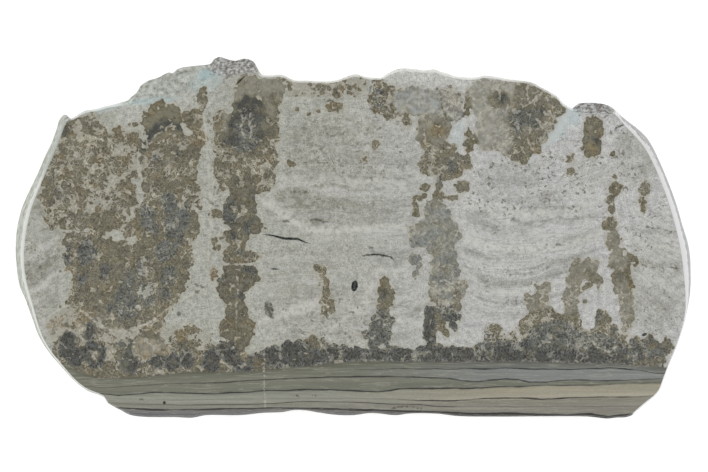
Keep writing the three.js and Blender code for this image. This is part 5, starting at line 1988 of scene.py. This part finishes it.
@dataclass(frozen=True)
class Studio:
    """A pale floor and plain soft light, with sizes in metres.

    Args:
        floor_size: Side of the floor.
        floor_drop: How far the floor lies under the slab's back.
        glow: How much light the floor adds of its own, which keeps shadows on it faint.
        grey: Lightness and roughness of the floor's paint.
        ambient: Strength of the light from all around.
        side_power: Power of each low light at the ends, in watts.
        side_size: Width and height of each of them.
        side_place: Where the one at the right stands.
        side_aim: What it looks at.
    """

    floor_size: float = 6.0
    floor_drop: float = 0.0002
    glow: float = 0.45
    grey: float = 0.9
    ambient: float = 0.95
    side_power: float = 0.2
    side_size: Row = (0.3, 0.5)
    side_place: Row = (0.6, 0.05, 0.25)
    side_aim: Row = (0.1, 0.0, 0.01)

    def build(self) -> None:
        """Make the floor, the surrounding light and the low lights at both ends."""
        half = self.floor_size / 2
        corners = [(-half, -half, 0), (half, -half, 0), (half, half, 0), (-half, half, 0)]
        mesh = bpy.data.meshes.new("floor")
        mesh.from_pydata(corners, [], [(0, 1, 2, 3)])
        mesh.materials.append(self.paint())
        floor = bpy.data.objects.new("floor", mesh)
        floor.location.z = -self.floor_drop
        bpy.context.collection.objects.link(floor)
        world = bpy.data.worlds.new("studio")
        world.use_nodes = True
        world.node_tree.nodes["Background"].inputs["Color"].default_value = (1, 1, 1, 1)
        world.node_tree.nodes["Background"].inputs["Strength"].default_value = self.ambient
        bpy.context.scene.world = world
        bpy.context.scene.view_settings.view_transform = "Standard"
        self.lamp("left_light", -1)
        self.lamp("right_light", 1)

    def lamp(self, name: str, side: int) -> None:
        """Stand a low light at one end.

        Args:
            name: Its name.
            side: Minus one for the left end, one for the right.
        """
        data = bpy.data.lights.new(name, "AREA")
        data.shape = "RECTANGLE"
        data.size, data.size_y = self.side_size
        data.energy = self.side_power
        lamp = bpy.data.objects.new(name, data)
        x, y, z = self.side_place
        lamp.location = (side * x, y, z)
        aim_x, aim_y, aim_z = self.side_aim
        aim = Vector((side * aim_x, aim_y, aim_z)) - lamp.location
        lamp.rotation_euler = aim.to_track_quat("-Z", "Y").to_euler()
        bpy.context.collection.objects.link(lamp)

    def paint(self) -> bpy.types.Material:
        """Make the floor's pale matt paint.

        Returns:
            The material.
        """
        material = bpy.data.materials.new("pale_floor")
        material.use_nodes = True
        shader = material.node_tree.nodes["Principled BSDF"]
        shader.inputs["Base Color"].default_value = (self.grey, self.grey, self.grey, 1)
        shader.inputs["Roughness"].default_value = self.grey
        shader.inputs["Specular IOR Level"].default_value = 0.0
        shader.inputs["Emission Color"].default_value = (1, 1, 1, 1)
        shader.inputs["Emission Strength"].default_value = self.glow
        return material


def main() -> None:
    """Build the camera, the studio and the slab."""
    logging.basicConfig(level=logging.INFO)
    TopCamera().build()
    LOG.info("camera made")
    Studio().build()
    LOG.info("studio made")
    piece = Slab(SlabShape(), Sheet()).build()
    piece.data.materials.append(PolishedStromatolite().material())
    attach(piece, "root")
    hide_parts(NODE)
    LOG.info("slab made: %d corners, %d faces", len(piece.data.vertices), len(piece.data.polygons))


if __name__ == "__main__":
    main()
